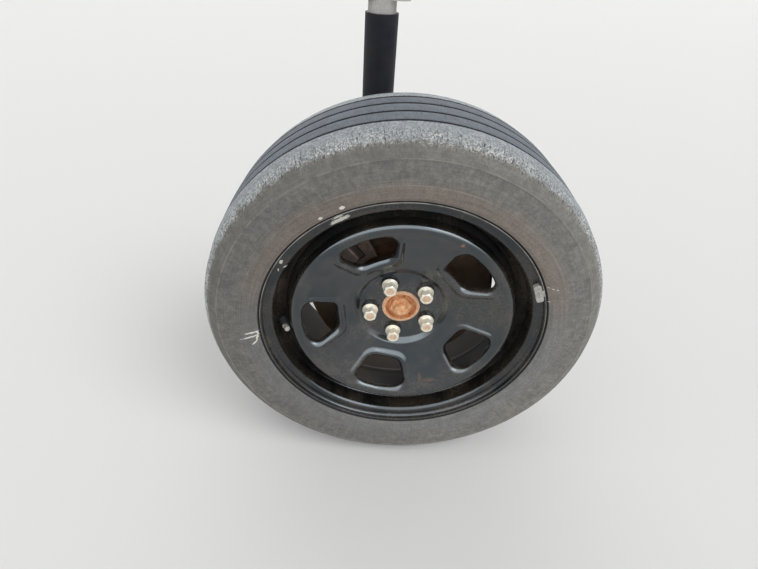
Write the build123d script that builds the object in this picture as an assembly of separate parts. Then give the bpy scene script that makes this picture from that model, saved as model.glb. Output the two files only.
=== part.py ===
"""Right rear wheel end of an SUV: steel wheel and tyre, hub, disc brake, half shaft, knuckle, damper.

Millimetres. Each piece is drawn about the wheel's centre, with X forward, Y inboard and Z up,
so the wheel turns about Y and its outer face looks along -Y. At the end every piece moves so
that the knuckle's lower arm pivot is the origin.
"""
from build123d import *
from math import cos, hypot, radians, sin
import os

# Tyre
TYRE_RADIUS = 351.0
TYRE_HALF_WIDTH = 126.0
SIDEWALL = 9.0
CROWN = 15.0
CROWN_DROP = 1.5
CROWN_EDGE = 62.0
BULGE_SHARE = 0.57
TYRE_GAP = 0.8
GROOVE_PLACES = (19.8, 58.3)
GROOVE_WIDTH = 4.8
GROOVE_DEPTH = 5.5

# Rim, after the 18 x 8 J standard: bead seat 462 mm across, flanges 17.3 mm high
BEAD_SEAT_RADIUS = 231.0
FLANGE_HEIGHT = 17.3
FLANGE_WIDTH = 13.0
RIM_WIDTH = 203.2
RIM_WALL = 3.2
RIM_BEND = 7.0
WELL_RADIUS = 213.0
WELL_OUTER_Y = -55.0
WELL_INNER_Y = -12.0
SHOULDER_RUN = 18.0
SEAT_SLOPE = 0.05

# Pressed wheel disc
WHEEL_OFFSET = 44.0
DISC_WALL = 4.0
CENTRE_BORE_RADIUS = 35.4
PAD_RADIUS = 78.0
DISH_DEPTH = 9.0
DISH_BEND = 8.0
CREST_WALL_RADIUS = 201.5
CREST_DEPTH = 55.5
CREST_BEND = 8.0
CREST_FOOT = 17.0
SKIRT_START = 3.0
SKIRT_RUN = 29.0
WELD_GAP = 0.03
LUG_COUNT = 5
LUG_CIRCLE = 114.3
LUG_PHASE = 42.7
SEAT_BASE_RADIUS = 19.0
SEAT_TOP_RADIUS = 14.0

# Windows, measured at their deepest edge, with lips that widen outward
WINDOW_INNER = 111.0
WINDOW_OUTER = 185.0
WINDOW_INNER_HALF = 31.0
WINDOW_OUTER_HALF = 57.0
WINDOW_ARC = 14.0
WINDOW_CORNER = 15.0
WINDOW_DROP = 6.5
WINDOW_OVERRUN = 6.0
WINDOW_LIP = 5.4
LIP_ROUND = 5.0
FACE_TOLERANCE = 1.2
TOUCH = 0.03

# Studs and nuts
STUD_RADIUS = 6.9
STUD_HEAD_RADIUS = 10.0
STUD_HEAD = 6.0
STUD_REACH = 30.0
NUT_ACROSS_FLATS = 21.0
NUT_FLANGE_RADIUS = 14.5
NUT_LENGTH = 19.0
NUT_SEAT_HEIGHT = 7.0
THREAD_GAP = 0.05

# Hub and bearing
HUB_FLANGE_RADIUS = 70.0
HUB_FLANGE = 12.0
PILOT_RADIUS = 35.2
PILOT_LENGTH = 12.6
PILOT_WALL = 6.2
SPINDLE_RADIUS = 32.95
BEARING_GAP = 0.05
HOUSING_WALL = 7.0
HOUSING_FLANGE = 10.5
HOUSING_FLANGE_RADIUS = 57.0
HOUSING_BACK_Y = 18.5
HOUSING_PILOT = 15.0
SEAL_GAP = 5.0
BEARING_BOLT_CIRCLE = 124.0
BEARING_BOLT_RADIUS = 6.0
BEARING_BOLT_COUNT = 4

# Brake disc
HAT_WALL = 6.0
HAT_RADIUS = 96.0
HAT_SIDE_WALL = 8.0
BRAKE_DISC_RADIUS = 172.5
ROTOR_CLEARANCE = 5.0
BRAKE_RING_INNER = 104.0
BRAKE_FACE_Y = -4.0
BRAKE_RING = 20.0
BRAKE_PLATE = 6.0
VANE_COUNT = 30
VANE = 5.0

# Axle stub and outer joint
THREAD_RADIUS = 12.0
SPLINE_RADIUS = 13.9
AXLE_TIP = 26.0
AXLE_NUT_ACROSS_FLATS = 36.0
AXLE_NUT_LENGTH = 12.0
JOINT_RADIUS = 44.0
JOINT_WALL = 7.0
JOINT_LENGTH = 84.0
JOINT_MIDDLE = 50.0
RACE_RADIUS = 27.0
CAGE_HALF = 12.0

# Half shaft, with a splined end for the inner joint, and the outer joint's boot
SHAFT_RADIUS = 12.0
SHAFT_SPLINE_RADIUS = 13.5
SHAFT_SPLINE_LENGTH = 38.0
SHAFT_END_Y = 360.0
BOOT_WALL = 2.5
BOOT_PITCH = 15.0
BOOT_FOLD = 4.5
BOOT_FOLDS = 5
BOOT_CUFF = 14.0
BAND_WIDTH = 7.0
BAND_WALL = 0.9

# Splash plate
SHEET = 1.5
SPLASH_GAP = 6.5
SPLASH_SEAT_GAP = 8.0
SPLASH_STEP = 14.0
SPLASH_Y = 25.0
SPLASH_LIP = 12.0

# Caliper, seen from outboard, as angles about the wheel's axis
CALIPER_ANGLE = 148.0
PAD_SPAN = 19.0
BRACKET_SPAN = 30.0
BRACKET_DEPTH = 18.0
PAD_HAT_GAP = 16.0
PAD_EDGE_GAP = 5.5
LINING = 9.5
PAD_PLATE = 5.0
PAD_GAP = 0.5
BRIDGE_WALL = 21.5
FINGER = 15.0
PISTON_RADIUS = 30.0
PISTON_LENGTH = 42.0
HOUSING_PLATE = 14.0
CALIPER_CORNER = 6.0
PIN_EAR = 26.0
PIN_RADIUS = 5.0

# Knuckle
KNUCKLE_FACE_Y = 20.0
KNUCKLE_DEPTH = 38.0
KNUCKLE_RADIUS = 76.0
CAST_ROUND = 3.5
ARM_RIM = 7.0
ARM_WEB = 14.0
CALIPER_LUG_Y = 44.0
CALIPER_LUG_REACH = 10.0
CALIPER_LUG_ANGLE = 26.0
LUG_BOSS = 15.0
LUG_HOLE = 6.0

# Links' pivots on the knuckle: x, y, z, ear radius, bolt radius, ear width, root z, root radius
LINKS = {
    "lower_arm": (-20.0, 165.0, -130.0, 27.0, 7.25, 44.0, -58.0, 22.0),
    "upper_arm": (42.0, 165.0, 118.0, 21.0, 6.25, 34.0, 50.0, 18.0),
    "toe_link": (52.0, 165.0, -66.0, 21.0, 6.25, 34.0, -34.0, 18.0),
}
BUSH_WALL = 6.0
SLEEVE_WALL = 2.6
SLEEVE_PROUD = 3.0

# Pad for the trailing arm
TRAILING_X = 84.0
TRAILING_Y = 160.0
TRAILING_Z = 18.0
TRAILING_SPACING = 46.0
TRAILING_HOLE = 5.1
TRAILING_BOSS = 14.0
TRAILING_WIDTH = 34.0

# Damper
DAMPER_X = -62.0
DAMPER_Y = 178.0
DAMPER_EYE_Z = -45.0
DAMPER_EYE_RADIUS = 22.0
DAMPER_EYE_WALL = 3.0
DAMPER_EYE_WIDTH = 36.0
DAMPER_EYE_GAP = 1.0
DAMPER_BOLT_RADIUS = 6.95
CLEVIS_EAR = 10.0
SLOT_GAP = 6.0
DAMPER_TUBE_RADIUS = 23.0
DAMPER_TUBE_TOP = 250.0
COVER_RADIUS = 28.5
COVER_WALL = 2.0
COVER_BOTTOM = 150.0
DAMPER_TOP = 470.0
ROD_RADIUS = 9.0
ROD_GRIP = 20.0
MOUNT_BOSS = 20.0
TOP_PLATE = 10.0
TOP_SPACING = 66.0
TOP_HOLE = 5.5
TOP_WIDTH = 44.0

# Valve and balance weight, as angles about the wheel's axis, and the valve's lean toward that axis
VALVE_ANGLE = 187.5
VALVE_LEAN = 22.0
VALVE_HOLE = 5.65
VALVE_LENGTH = 35.0
WEIGHT_ANGLE = 22.8
WEIGHT_HALF = 4.3
WEIGHT_HEIGHT = 12.5
WEIGHT_DEPTH = 8.5

# Planes and radii that follow from the sizes above
HUB_FACE = -WHEEL_OFFSET + HAT_WALL
HUB_BACK = HUB_FACE + HUB_FLANGE
PAD_FRONT = -WHEEL_OFFSET - DISC_WALL
FLANGE_Y = RIM_WIDTH / 2.0
RIM_RADIUS = BEAD_SEAT_RADIUS + FLANGE_HEIGHT
LUG_RADIUS = LUG_CIRCLE / 2.0
SEAT_Y = PAD_FRONT - NUT_SEAT_HEIGHT
SPINDLE_END = HOUSING_BACK_Y + HOUSING_PILOT + SEAL_GAP
HOUSING_BORE = SPINDLE_RADIUS + BEARING_GAP
HOUSING_RADIUS = HOUSING_BORE + HOUSING_WALL
BRAKE_BACK_Y = BRAKE_FACE_Y + BRAKE_RING
KNUCKLE_BACK_Y = KNUCKLE_FACE_Y + KNUCKLE_DEPTH
JOINT_BORE = JOINT_RADIUS + ROTOR_CLEARANCE + 1.0
JOINT_MOUTH = SPINDLE_END + JOINT_LENGTH
BOOT_BORE = JOINT_RADIUS + BOOT_WALL + 3.0 * BAND_WALL + ROTOR_CLEARANCE
SPLASH_RADIUS = BRAKE_DISC_RADIUS + SPLASH_GAP
PAD_INNER = HAT_RADIUS + PAD_HAT_GAP
PAD_OUTER = BRAKE_DISC_RADIUS - PAD_EDGE_GAP
PAD_STACK = PAD_GAP + LINING + PAD_PLATE
BRIDGE_INNER = BRAKE_DISC_RADIUS + ROTOR_CLEARANCE
CALIPER_OUTER = BRIDGE_INNER + BRIDGE_WALL
CALIPER_LUG_RADIUS = PAD_INNER + CALIPER_LUG_REACH


def polar(radius, angle):
    """X and Z of a point at an angle from forward, turning upward."""
    return radius * cos(radians(angle)), radius * sin(radians(angle))


def along_y(radius, y0, y1, x=0.0, z=0.0):
    """Cylinder along the wheel's axis between two planes."""
    return Pos(x, (y0 + y1) / 2.0, z) * Rot(90, 0, 0) * Cylinder(radius, abs(y1 - y0))


def along_x(radius, x0, x1, y, z):
    """Cylinder along X between two planes."""
    return Pos((x0 + x1) / 2.0, y, z) * Rot(0, 90, 0) * Cylinder(radius, abs(x1 - x0))


def along_z(radius, z0, z1, x, y):
    """Upright cylinder between two heights."""
    return Pos(x, y, (z0 + z1) / 2.0) * Cylinder(radius, abs(z1 - z0))


def face_plane(y):
    """Plane across the wheel's axis: X, then Z, with its normal outboard."""
    return Plane(origin=(0, y, 0), x_dir=(1, 0, 0), z_dir=(0, -1, 0))


def slab(sketch, y0, y1):
    """Sketch drawn in X and Z, made solid between two planes across the axis."""
    return extrude(face_plane(max(y0, y1)) * sketch, amount=abs(y1 - y0))


def turned(corners):
    """Solid of revolution about the axis from (radius, y, rounding) corners."""
    face = make_face(Polyline([(r, y) for r, y, _ in corners], close=True))
    for r, y, rounding in corners:
        if rounding:
            corner = face.vertices().sort_by_distance((r, y, 0))[0]
            face = fillet([corner], rounding)
    return revolve(face, Axis.Y)


def spun_sheet(corners, wall):
    """Sheet of one thickness, revolved about the axis, from its (radius, y, bend) mid line."""
    path = FilletPolyline([(r, y) for r, y, _ in corners], radius=[bend for _, _, bend in corners[1:-1]])
    return revolve(trace(path, wall), Axis.Y)


def sector(inner, outer, middle, half, y0, y1, corner=0.0):
    """Part of a ring, between two radii and two angles either side of a middle one."""
    a0 = middle - half
    a1 = middle + half
    outline = make_face([
        Line(polar(inner, a0), polar(outer, a0)),
        ThreePointArc(polar(outer, a0), polar(outer, middle), polar(outer, a1)),
        Line(polar(outer, a1), polar(inner, a1)),
        ThreePointArc(polar(inner, a1), polar(inner, middle), polar(inner, a0)),
    ])
    if corner:
        outline = fillet(outline.vertices(), corner)
    return slab(outline, y0, y1)


def hexagon(across_flats, y0, y1, x, z, turn=0.0):
    """Hexagon bar along the axis."""
    outline = RegularPolygon(across_flats / 2.0, 6, major_radius=False)
    return slab(Pos(x, z) * Rot(0, 0, turn) * outline, y0, y1)


def lug_places():
    """Angle, x and z of each wheel stud."""
    step = 360.0 / LUG_COUNT
    for k in range(LUG_COUNT):
        angle = LUG_PHASE + k * step
        yield (angle, *polar(LUG_RADIUS, angle))


def tyre():
    seat = BEAD_SEAT_RADIUS
    wide = TYRE_HALF_WIDTH
    top = TYRE_RADIUS
    lip = RIM_RADIUS + TYRE_GAP
    height = top - seat
    bulge = seat + height * BULGE_SHARE
    half = [
        (seat, FLANGE_Y - 17.0, 0.0),
        (seat, FLANGE_Y, RIM_BEND - RIM_WALL / 2.0 + 0.6),
        (lip, FLANGE_Y, RIM_BEND + RIM_WALL / 2.0 + 0.4),
        (lip, wide - 11.0, 0.0),
        (lip + height / 20.0, wide - 7.0, height / 30.0),
        (bulge, wide, height / 3.0),
        (top - height / 6.0, wide - 7.0, height / 10.0),
        (top - height / 20.0, wide - 27.0, height / 8.6),
        (top - CROWN_DROP, wide - CROWN_EDGE, 0.0),
        (top, 0.0, 0.0),
    ]
    inner = [
        (top - CROWN, wide - 34.0, height / 5.5),
        (bulge, wide - SIDEWALL, height / 3.0),
        (lip + 2.0, FLANGE_Y - 9.0, height / 10.0),
    ]
    outer_corners = [(r, -y, f) for r, y, f in half[:-1]]
    corners = outer_corners + [half[-1]] + [(r, y, f) for r, y, f in reversed(half[:-1])]
    corners += [(r, y, f) for r, y, f in reversed(inner)]
    corners += [(r, -y, f) for r, y, f in inner]
    body = turned(corners)
    for place in GROOVE_PLACES:
        floor = top - CROWN_DROP * place / (wide - CROWN_EDGE) - GROOVE_DEPTH
        for y in (-place, place):
            body -= turned([
                (floor, y - GROOVE_WIDTH / 2.0, 0.0),
                (floor, y + GROOVE_WIDTH / 2.0, 0.0),
                (top + 1.0, y + GROOVE_WIDTH / 2.0, 0.0),
                (top + 1.0, y - GROOVE_WIDTH / 2.0, 0.0),
            ])
    return body


def shoulder(y):
    """Radius of the rim's mid line along the outer bead seat, which slopes down inboard."""
    return BEAD_SEAT_RADIUS - RIM_WALL / 2.0 - SEAT_SLOPE * (y + FLANGE_Y + RIM_WALL / 2.0)


def rim():
    mid = RIM_WALL / 2.0
    seat = BEAD_SEAT_RADIUS - mid
    lip = RIM_RADIUS - mid
    wall = FLANGE_Y + mid
    edge = FLANGE_Y + FLANGE_WIDTH
    well = WELL_RADIUS - mid
    body = spun_sheet([
        (lip, -edge, 0.0),
        (lip, -wall, RIM_BEND),
        (seat, -wall, RIM_BEND),
        (shoulder(WELL_OUTER_Y - SHOULDER_RUN), WELL_OUTER_Y - SHOULDER_RUN, 7.0),
        (well, WELL_OUTER_Y, 9.0),
        (well, WELL_INNER_Y, 9.0),
        (shoulder(WELL_OUTER_Y - SHOULDER_RUN), WELL_INNER_Y + SHOULDER_RUN, 9.0),
        (seat, wall, RIM_BEND),
        (lip, wall, RIM_BEND),
        (lip, edge, 0.0),
    ], RIM_WALL)
    return body - at_valve(along_y(VALVE_HOLE, -SHOULDER_RUN / 2.0, SHOULDER_RUN / 2.0))


def at_valve(solid):
    """Solid drawn along Y, placed on the valve's axis with its origin in the slope of the rim's well."""
    foot_radius = (shoulder(WELL_OUTER_Y - SHOULDER_RUN) + WELL_RADIUS - RIM_WALL / 2.0) / 2.0
    foot = Pos(foot_radius, WELL_OUTER_Y - SHOULDER_RUN / 2.0, 0)
    return Rot(0, -VALVE_ANGLE, 0) * foot * Rot(0, 0, -VALVE_LEAN) * solid


def valve_stem():
    """Snap-in valve: rubber foot and body, then the metal neck and cap."""
    cap = VALVE_LENGTH - 9.0
    stem = turned([
        (0.0, 9.0, 0.0),
        (5.0, 9.0, 0.0),
        (7.8, 6.0, 1.0),
        (7.8, -9.0, 1.5),
        (6.6, -13.0, 1.5),
        (6.6, 1.5 - cap, 1.0),
        (4.1, 1.0 - cap, 0.0),
        (4.1, -cap, 0.0),
        (4.9, -cap, 0.4),
        (4.9, -VALVE_LENGTH, 1.2),
        (0.0, -VALVE_LENGTH, 0.0),
    ])
    return at_valve(stem) - rim()


def disc_line():
    """Mid line of the pressed disc: pad, step, cone, round crest, and the skirt welded in the well."""
    mid = DISC_WALL / 2.0
    pad = -WHEEL_OFFSET - mid
    wall = CREST_WALL_RADIUS - mid
    skirt = WELL_RADIUS - RIM_WALL - WELD_GAP - mid
    return [
        (CENTRE_BORE_RADIUS, pad, 0.0),
        (PAD_RADIUS, pad, DISH_BEND),
        (PAD_RADIUS + DISH_DEPTH, pad - DISH_DEPTH, DISH_BEND),
        (wall, -WHEEL_OFFSET - CREST_DEPTH, CREST_BEND),
        (wall, WELL_OUTER_Y - CREST_FOOT, DISH_BEND),
        (skirt, WELL_OUTER_Y - SKIRT_START, DISH_BEND),
        (skirt, WELL_OUTER_Y + SKIRT_RUN, 0.0),
    ]


def cone_front(r):
    """Y of the cone's outer face at a radius."""
    (r0, y0, _), (r1, y1, _) = disc_line()[2:4]
    slope = (y1 - y0) / (r1 - r0)
    return y0 + slope * (r - r0) - DISC_WALL / 2.0 * hypot(1.0, slope)


def window(rise):
    """One window's outline, wider as it rises from the deepest edge toward the outer face."""
    middle = (WINDOW_INNER + WINDOW_OUTER) / 2.0
    inner = WINDOW_INNER - middle - rise
    outer = WINDOW_OUTER - middle + rise * 0.25
    narrow = WINDOW_INNER_HALF + rise * 0.6
    wide = WINDOW_OUTER_HALF + rise
    back = outer - WINDOW_ARC
    outline = make_face([
        Polyline([(back, wide), (inner, narrow), (inner, -narrow), (back, -wide)]),
        ThreePointArc((back, -wide), (outer, 0.0), (back, wide)),
    ])
    return fillet(outline.vertices(), WINDOW_CORNER + rise * 0.4)


def funnel(wall):
    """Window at angle 0 as a solid through the cone, grown outward by a wall."""
    middle = (WINDOW_INNER + WINDOW_OUTER) / 2.0
    rise = cone_front(middle + 1.0) - cone_front(middle)
    plane = Plane(origin=(middle, cone_front(middle), 0), x_dir=(1, rise, 0), z_dir=(rise, -1, 0))
    low = plane.offset(-WINDOW_DROP) * window(wall)
    high = plane.offset(WINDOW_OVERRUN) * window(WINDOW_DROP + WINDOW_OVERRUN + wall)
    return loft([low, high], ruled=True)


def lip_edges(body, cut):
    """Edges where a window's funnel meets the disc's outer face."""
    centre = cut.center()
    found = []
    for edge in body.edges():
        middle = edge @ 0.5
        near = (middle - centre).length < WINDOW_OUTER - WINDOW_INNER + WINDOW_DROP * 2.0
        on_face = abs(middle.Y - cone_front(hypot(middle.X, middle.Z))) < FACE_TOLERANCE
        if near and on_face and all(cut.distance_to(edge @ share) < TOUCH for share in (0.0, 0.5, 1.0)):
            found.append(edge)
    return found


def wheel_disc():
    """Pressed disc whose five windows have lips turned inward and rounded."""
    turns = [Rot(0, -angle, 0) for angle, _, _ in lug_places()]
    inside = PAD_RADIUS
    outside = CREST_WALL_RADIUS - DISC_WALL / 2.0 - CREST_BEND * 1.5
    band = turned([
        (inside, cone_front(inside), 0.0),
        (outside, cone_front(outside), 0.0),
        (outside, 0.0, 0.0),
        (inside, 0.0, 0.0),
    ])
    hole = funnel(0.0)
    lip = (funnel(WINDOW_LIP) & band) - hole
    body = spun_sheet(disc_line(), DISC_WALL)
    body = body.cut(*[turn * hole for turn in turns])
    body = body.fuse(*[turn * lip for turn in turns])
    edges = [edge for turn in turns for edge in lip_edges(body, turn * hole)]
    body = fillet(edges, LIP_ROUND)
    for _, x, z in lug_places():
        boss = Cone(SEAT_BASE_RADIUS, SEAT_TOP_RADIUS, NUT_SEAT_HEIGHT)
        body += Pos(x, (PAD_FRONT + SEAT_Y) / 2.0, z) * Rot(90, 0, 0) * boss
        body -= along_y(STUD_RADIUS + 1.2, SEAT_Y - 2.0, 0.0, x, z)
    return body


def lug_nuts():
    nuts = []
    for angle, x, z in lug_places():
        nut = hexagon(NUT_ACROSS_FLATS, SEAT_Y - NUT_LENGTH, SEAT_Y, x, z, angle * 1.7)
        crown = along_y(NUT_ACROSS_FLATS * 0.56, SEAT_Y - NUT_LENGTH, SEAT_Y, x, z)
        nut = nut & chamfer(crown.edges().sort_by(Axis.Y)[0], 1.6)
        cone = Pos(x, SEAT_Y - 3.0, z) * Rot(90, 0, 0) * Cone(NUT_FLANGE_RADIUS, NUT_ACROSS_FLATS / 2.0, 6.0)
        nuts.append(nut + cone - along_y(STUD_RADIUS + THREAD_GAP, SEAT_Y - 40.0, 0.0, x, z))
    return Compound(children=nuts)


def wheel_studs():
    studs = []
    for _, x, z in lug_places():
        shank = along_y(STUD_RADIUS, PAD_FRONT - STUD_REACH + 5.0, HUB_BACK, x, z)
        shank = chamfer(shank.edges().sort_by(Axis.Y)[0], 1.2)
        studs.append(shank + along_y(STUD_HEAD_RADIUS, HUB_BACK, HUB_BACK + STUD_HEAD, x, z))
    return Compound(children=studs)


def hub():
    body = turned([
        (SPLINE_RADIUS + THREAD_GAP, HUB_FACE - 2.0, 0.0),
        (PILOT_RADIUS - PILOT_WALL, HUB_FACE - 2.0, 0.0),
        (PILOT_RADIUS - PILOT_WALL, HUB_FACE - PILOT_LENGTH, 0.0),
        (PILOT_RADIUS, HUB_FACE - PILOT_LENGTH, 1.5),
        (PILOT_RADIUS, HUB_FACE, 0.0),
        (HUB_FLANGE_RADIUS, HUB_FACE, 1.5),
        (HUB_FLANGE_RADIUS, HUB_BACK, 1.5),
        (SPINDLE_RADIUS + 4.0, HUB_BACK, 0.0),
        (SPINDLE_RADIUS, HUB_BACK + 2.0, 0.0),
        (SPINDLE_RADIUS, SPINDLE_END, 1.0),
        (SPLINE_RADIUS + THREAD_GAP, SPINDLE_END, 0.0),
    ])
    for _, x, z in lug_places():
        body -= along_y(STUD_RADIUS + THREAD_GAP, HUB_FACE - 1.0, HUB_BACK + 1.0, x, z)
    return body


def brake_disc():
    hat_inner = HAT_RADIUS - HAT_SIDE_WALL
    body = turned([
        (PILOT_RADIUS + 0.2, -WHEEL_OFFSET, 0.0),
        (HAT_RADIUS, -WHEEL_OFFSET, 3.0),
        (HAT_RADIUS, BRAKE_FACE_Y, 2.0),
        (BRAKE_DISC_RADIUS, BRAKE_FACE_Y, 1.0),
        (BRAKE_DISC_RADIUS, BRAKE_FACE_Y + BRAKE_PLATE, 0.0),
        (hat_inner, BRAKE_FACE_Y + BRAKE_PLATE, 0.0),
        (hat_inner, HUB_FACE, 4.0),
        (PILOT_RADIUS + 0.2, HUB_FACE, 0.0),
    ])
    body += turned([
        (BRAKE_RING_INNER, BRAKE_BACK_Y - BRAKE_PLATE, 0.0),
        (BRAKE_DISC_RADIUS, BRAKE_BACK_Y - BRAKE_PLATE, 0.0),
        (BRAKE_DISC_RADIUS, BRAKE_BACK_Y, 1.0),
        (BRAKE_RING_INNER, BRAKE_BACK_Y, 1.0),
    ])
    length = BRAKE_DISC_RADIUS - BRAKE_RING_INNER - 10.0
    vane = Pos((BRAKE_DISC_RADIUS + BRAKE_RING_INNER) / 2.0, (BRAKE_FACE_Y + BRAKE_BACK_Y) / 2.0, 0)
    vane = vane * Box(length, BRAKE_RING - 2.0 * BRAKE_PLATE + 1.0, VANE)
    vanes = [Rot(0, k * 360.0 / VANE_COUNT, 0) * vane for k in range(VANE_COUNT)]
    body = body.fuse(*vanes)
    for _, x, z in lug_places():
        body -= along_y(STUD_RADIUS + 0.6, -WHEEL_OFFSET - 1.0, HUB_FACE + 1.0, x, z)
    return body


def stub_axle():
    tip = HUB_FACE - AXLE_TIP
    back = SPINDLE_END
    mouth = JOINT_MOUTH
    inner = JOINT_RADIUS - JOINT_WALL
    return turned([
        (0.0, tip + 4.0, 0.0),
        (2.4, tip, 0.0),
        (THREAD_RADIUS - 4.0, tip, 0.0),
        (THREAD_RADIUS, tip + 2.5, 0.0),
        (THREAD_RADIUS, HUB_FACE - 2.0, 0.0),
        (SPLINE_RADIUS, HUB_FACE - 2.0, 0.0),
        (SPLINE_RADIUS, back, 0.0),
        (SPINDLE_RADIUS - 4.0, back, 0.0),
        (SPINDLE_RADIUS, back + 4.0, 5.0),
        (JOINT_RADIUS, back + 16.0, 10.0),
        (JOINT_RADIUS, mouth, 2.0),
        (inner, mouth, 1.0),
        (inner, back + 24.0, 12.0),
        (0.0, back + 18.0, 0.0),
    ])


def axle_nut():
    front = HUB_FACE - 2.0
    nut = hexagon(AXLE_NUT_ACROSS_FLATS, front - AXLE_NUT_LENGTH, front, 0.0, 0.0, 11.0)
    nut += along_y(AXLE_NUT_ACROSS_FLATS * 0.62, front - 3.0, front)
    return nut - along_y(THREAD_RADIUS + THREAD_GAP, front - 40.0, 0.0)


def joint_race():
    """Ball joint's inner race, with the bore that takes the half shaft."""
    middle = SPINDLE_END + JOINT_MIDDLE
    half = CAGE_HALF + 1.0
    race = Pos(0, middle, 0) * Sphere(RACE_RADIUS)
    race &= along_y(RACE_RADIUS + 3.0, middle - half, middle + half)
    return race - along_y(SHAFT_RADIUS + THREAD_GAP, middle - 20.0, middle + 20.0)


def joint_cage():
    middle = SPINDLE_END + JOINT_MIDDLE
    shell = Pos(0, middle, 0) * Sphere(JOINT_RADIUS - JOINT_WALL - 0.2)
    shell -= Pos(0, middle, 0) * Sphere(RACE_RADIUS + 0.2)
    return shell & along_y(JOINT_RADIUS, middle - CAGE_HALF, middle + CAGE_HALF)


def drive_shaft():
    """Bar of the half shaft from the outer joint's race to the splined end for the inner joint."""
    splined = SHAFT_END_Y - SHAFT_SPLINE_LENGTH
    return turned([
        (0.0, SPINDLE_END + JOINT_MIDDLE - 15.0, 0.0),
        (SHAFT_RADIUS, SPINDLE_END + JOINT_MIDDLE - 15.0, 1.5),
        (SHAFT_RADIUS, splined - 4.0, 0.0),
        (SHAFT_SPLINE_RADIUS, splined, 0.0),
        (SHAFT_SPLINE_RADIUS, SHAFT_END_Y, 0.0),
        (SHAFT_SPLINE_RADIUS - 1.5, SHAFT_END_Y + 1.5, 0.0),
        (0.0, SHAFT_END_Y + 1.5, 0.0),
    ])


def boot_line():
    """Mid line of the bellows, from its cuff on the joint to its cuff on the half shaft."""
    wide = JOINT_RADIUS + THREAD_GAP + BOOT_WALL / 2.0
    thin = SHAFT_RADIUS + THREAD_GAP + BOOT_WALL / 2.0
    start = JOINT_MOUTH + BOOT_FOLD
    line = [(wide, JOINT_MOUTH - BOOT_CUFF, 0.0), (wide, start, 2.0)]
    for k in range(BOOT_FOLDS):
        low = thin + (wide - thin) * (1.0 - (k + 0.5) / BOOT_FOLDS) * 0.85
        high = thin + (wide - thin) * (1.0 - (k + 1.0) / BOOT_FOLDS) + BOOT_FOLD
        line += [(low, start + (k + 0.5) * BOOT_PITCH, 2.0), (high, start + (k + 1.0) * BOOT_PITCH, 2.0)]
    end = start + (BOOT_FOLDS + 0.5) * BOOT_PITCH
    return line + [(thin, end, 2.0), (thin, end + BOOT_CUFF, 0.0)]


def joint_boot():
    return spun_sheet(boot_line(), BOOT_WALL)


def boot_bands():
    """Clamp bands on both cuffs, each with its pinched ear."""
    line = boot_line()
    bands = []
    for radius, middle in (
        (line[0][0] + BOOT_WALL / 2.0, JOINT_MOUTH - BOOT_CUFF / 2.0),
        (line[-1][0] + BOOT_WALL / 2.0, line[-1][1] - BOOT_CUFF / 2.0),
    ):
        y0 = middle - BAND_WIDTH / 2.0
        y1 = middle + BAND_WIDTH / 2.0
        ring = along_y(radius + BAND_WALL, y0, y1)
        ring += Pos(0, middle, radius + BAND_WALL) * Box(BAND_WIDTH, BAND_WIDTH, BAND_WALL * 4.0)
        bands.append(ring - along_y(radius, y0 - 1.0, y1 + 1.0))
    return Compound(children=bands)


def bearing_housing():
    front = HUB_BACK + SEAL_GAP
    body = turned([
        (HOUSING_BORE, front, 0.0),
        (HOUSING_RADIUS, front, 1.5),
        (HOUSING_RADIUS, HOUSING_BACK_Y - HOUSING_FLANGE, 3.0),
        (HOUSING_FLANGE_RADIUS, HOUSING_BACK_Y - HOUSING_FLANGE, 1.0),
        (HOUSING_FLANGE_RADIUS, HOUSING_BACK_Y, 0.0),
        (HOUSING_RADIUS + 1.0, HOUSING_BACK_Y, 0.0),
        (HOUSING_RADIUS + 1.0, HOUSING_BACK_Y + HOUSING_PILOT, 1.0),
        (HOUSING_BORE, HOUSING_BACK_Y + HOUSING_PILOT, 0.0),
    ])
    for x, z in bearing_bolt_places():
        lobe = make_hull(((Pos(x, z) * Circle(12.0)) + (Pos(x * 0.5, z * 0.5) * Circle(20.0))).edges())
        lobe = slab(lobe, HOUSING_BACK_Y - HOUSING_FLANGE, HOUSING_BACK_Y)
        body += lobe - along_y(HOUSING_RADIUS - 1.0, HOUSING_BACK_Y - 20.0, HOUSING_BACK_Y + 1.0)
    for x, z in bearing_bolt_places():
        body -= along_y(BEARING_BOLT_RADIUS + THREAD_GAP, 0.0, HOUSING_BACK_Y + 1.0, x, z)
    return body


def bearing_bolt_places():
    for k in range(BEARING_BOLT_COUNT):
        yield polar(BEARING_BOLT_CIRCLE / 2.0, 45.0 + k * 360.0 / BEARING_BOLT_COUNT)


def bearing_bolts():
    bolts = []
    for x, z in bearing_bolt_places():
        shank = along_y(BEARING_BOLT_RADIUS, HOUSING_BACK_Y - HOUSING_FLANGE, KNUCKLE_BACK_Y, x, z)
        head = along_y(BEARING_BOLT_RADIUS * 1.9, KNUCKLE_BACK_Y, KNUCKLE_BACK_Y + 2.0, x, z)
        head += hexagon(16.0, KNUCKLE_BACK_Y + 1.0, KNUCKLE_BACK_Y + 9.0, x, z)
        bolts.append(shank + head)
    return Compound(children=bolts)


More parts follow.
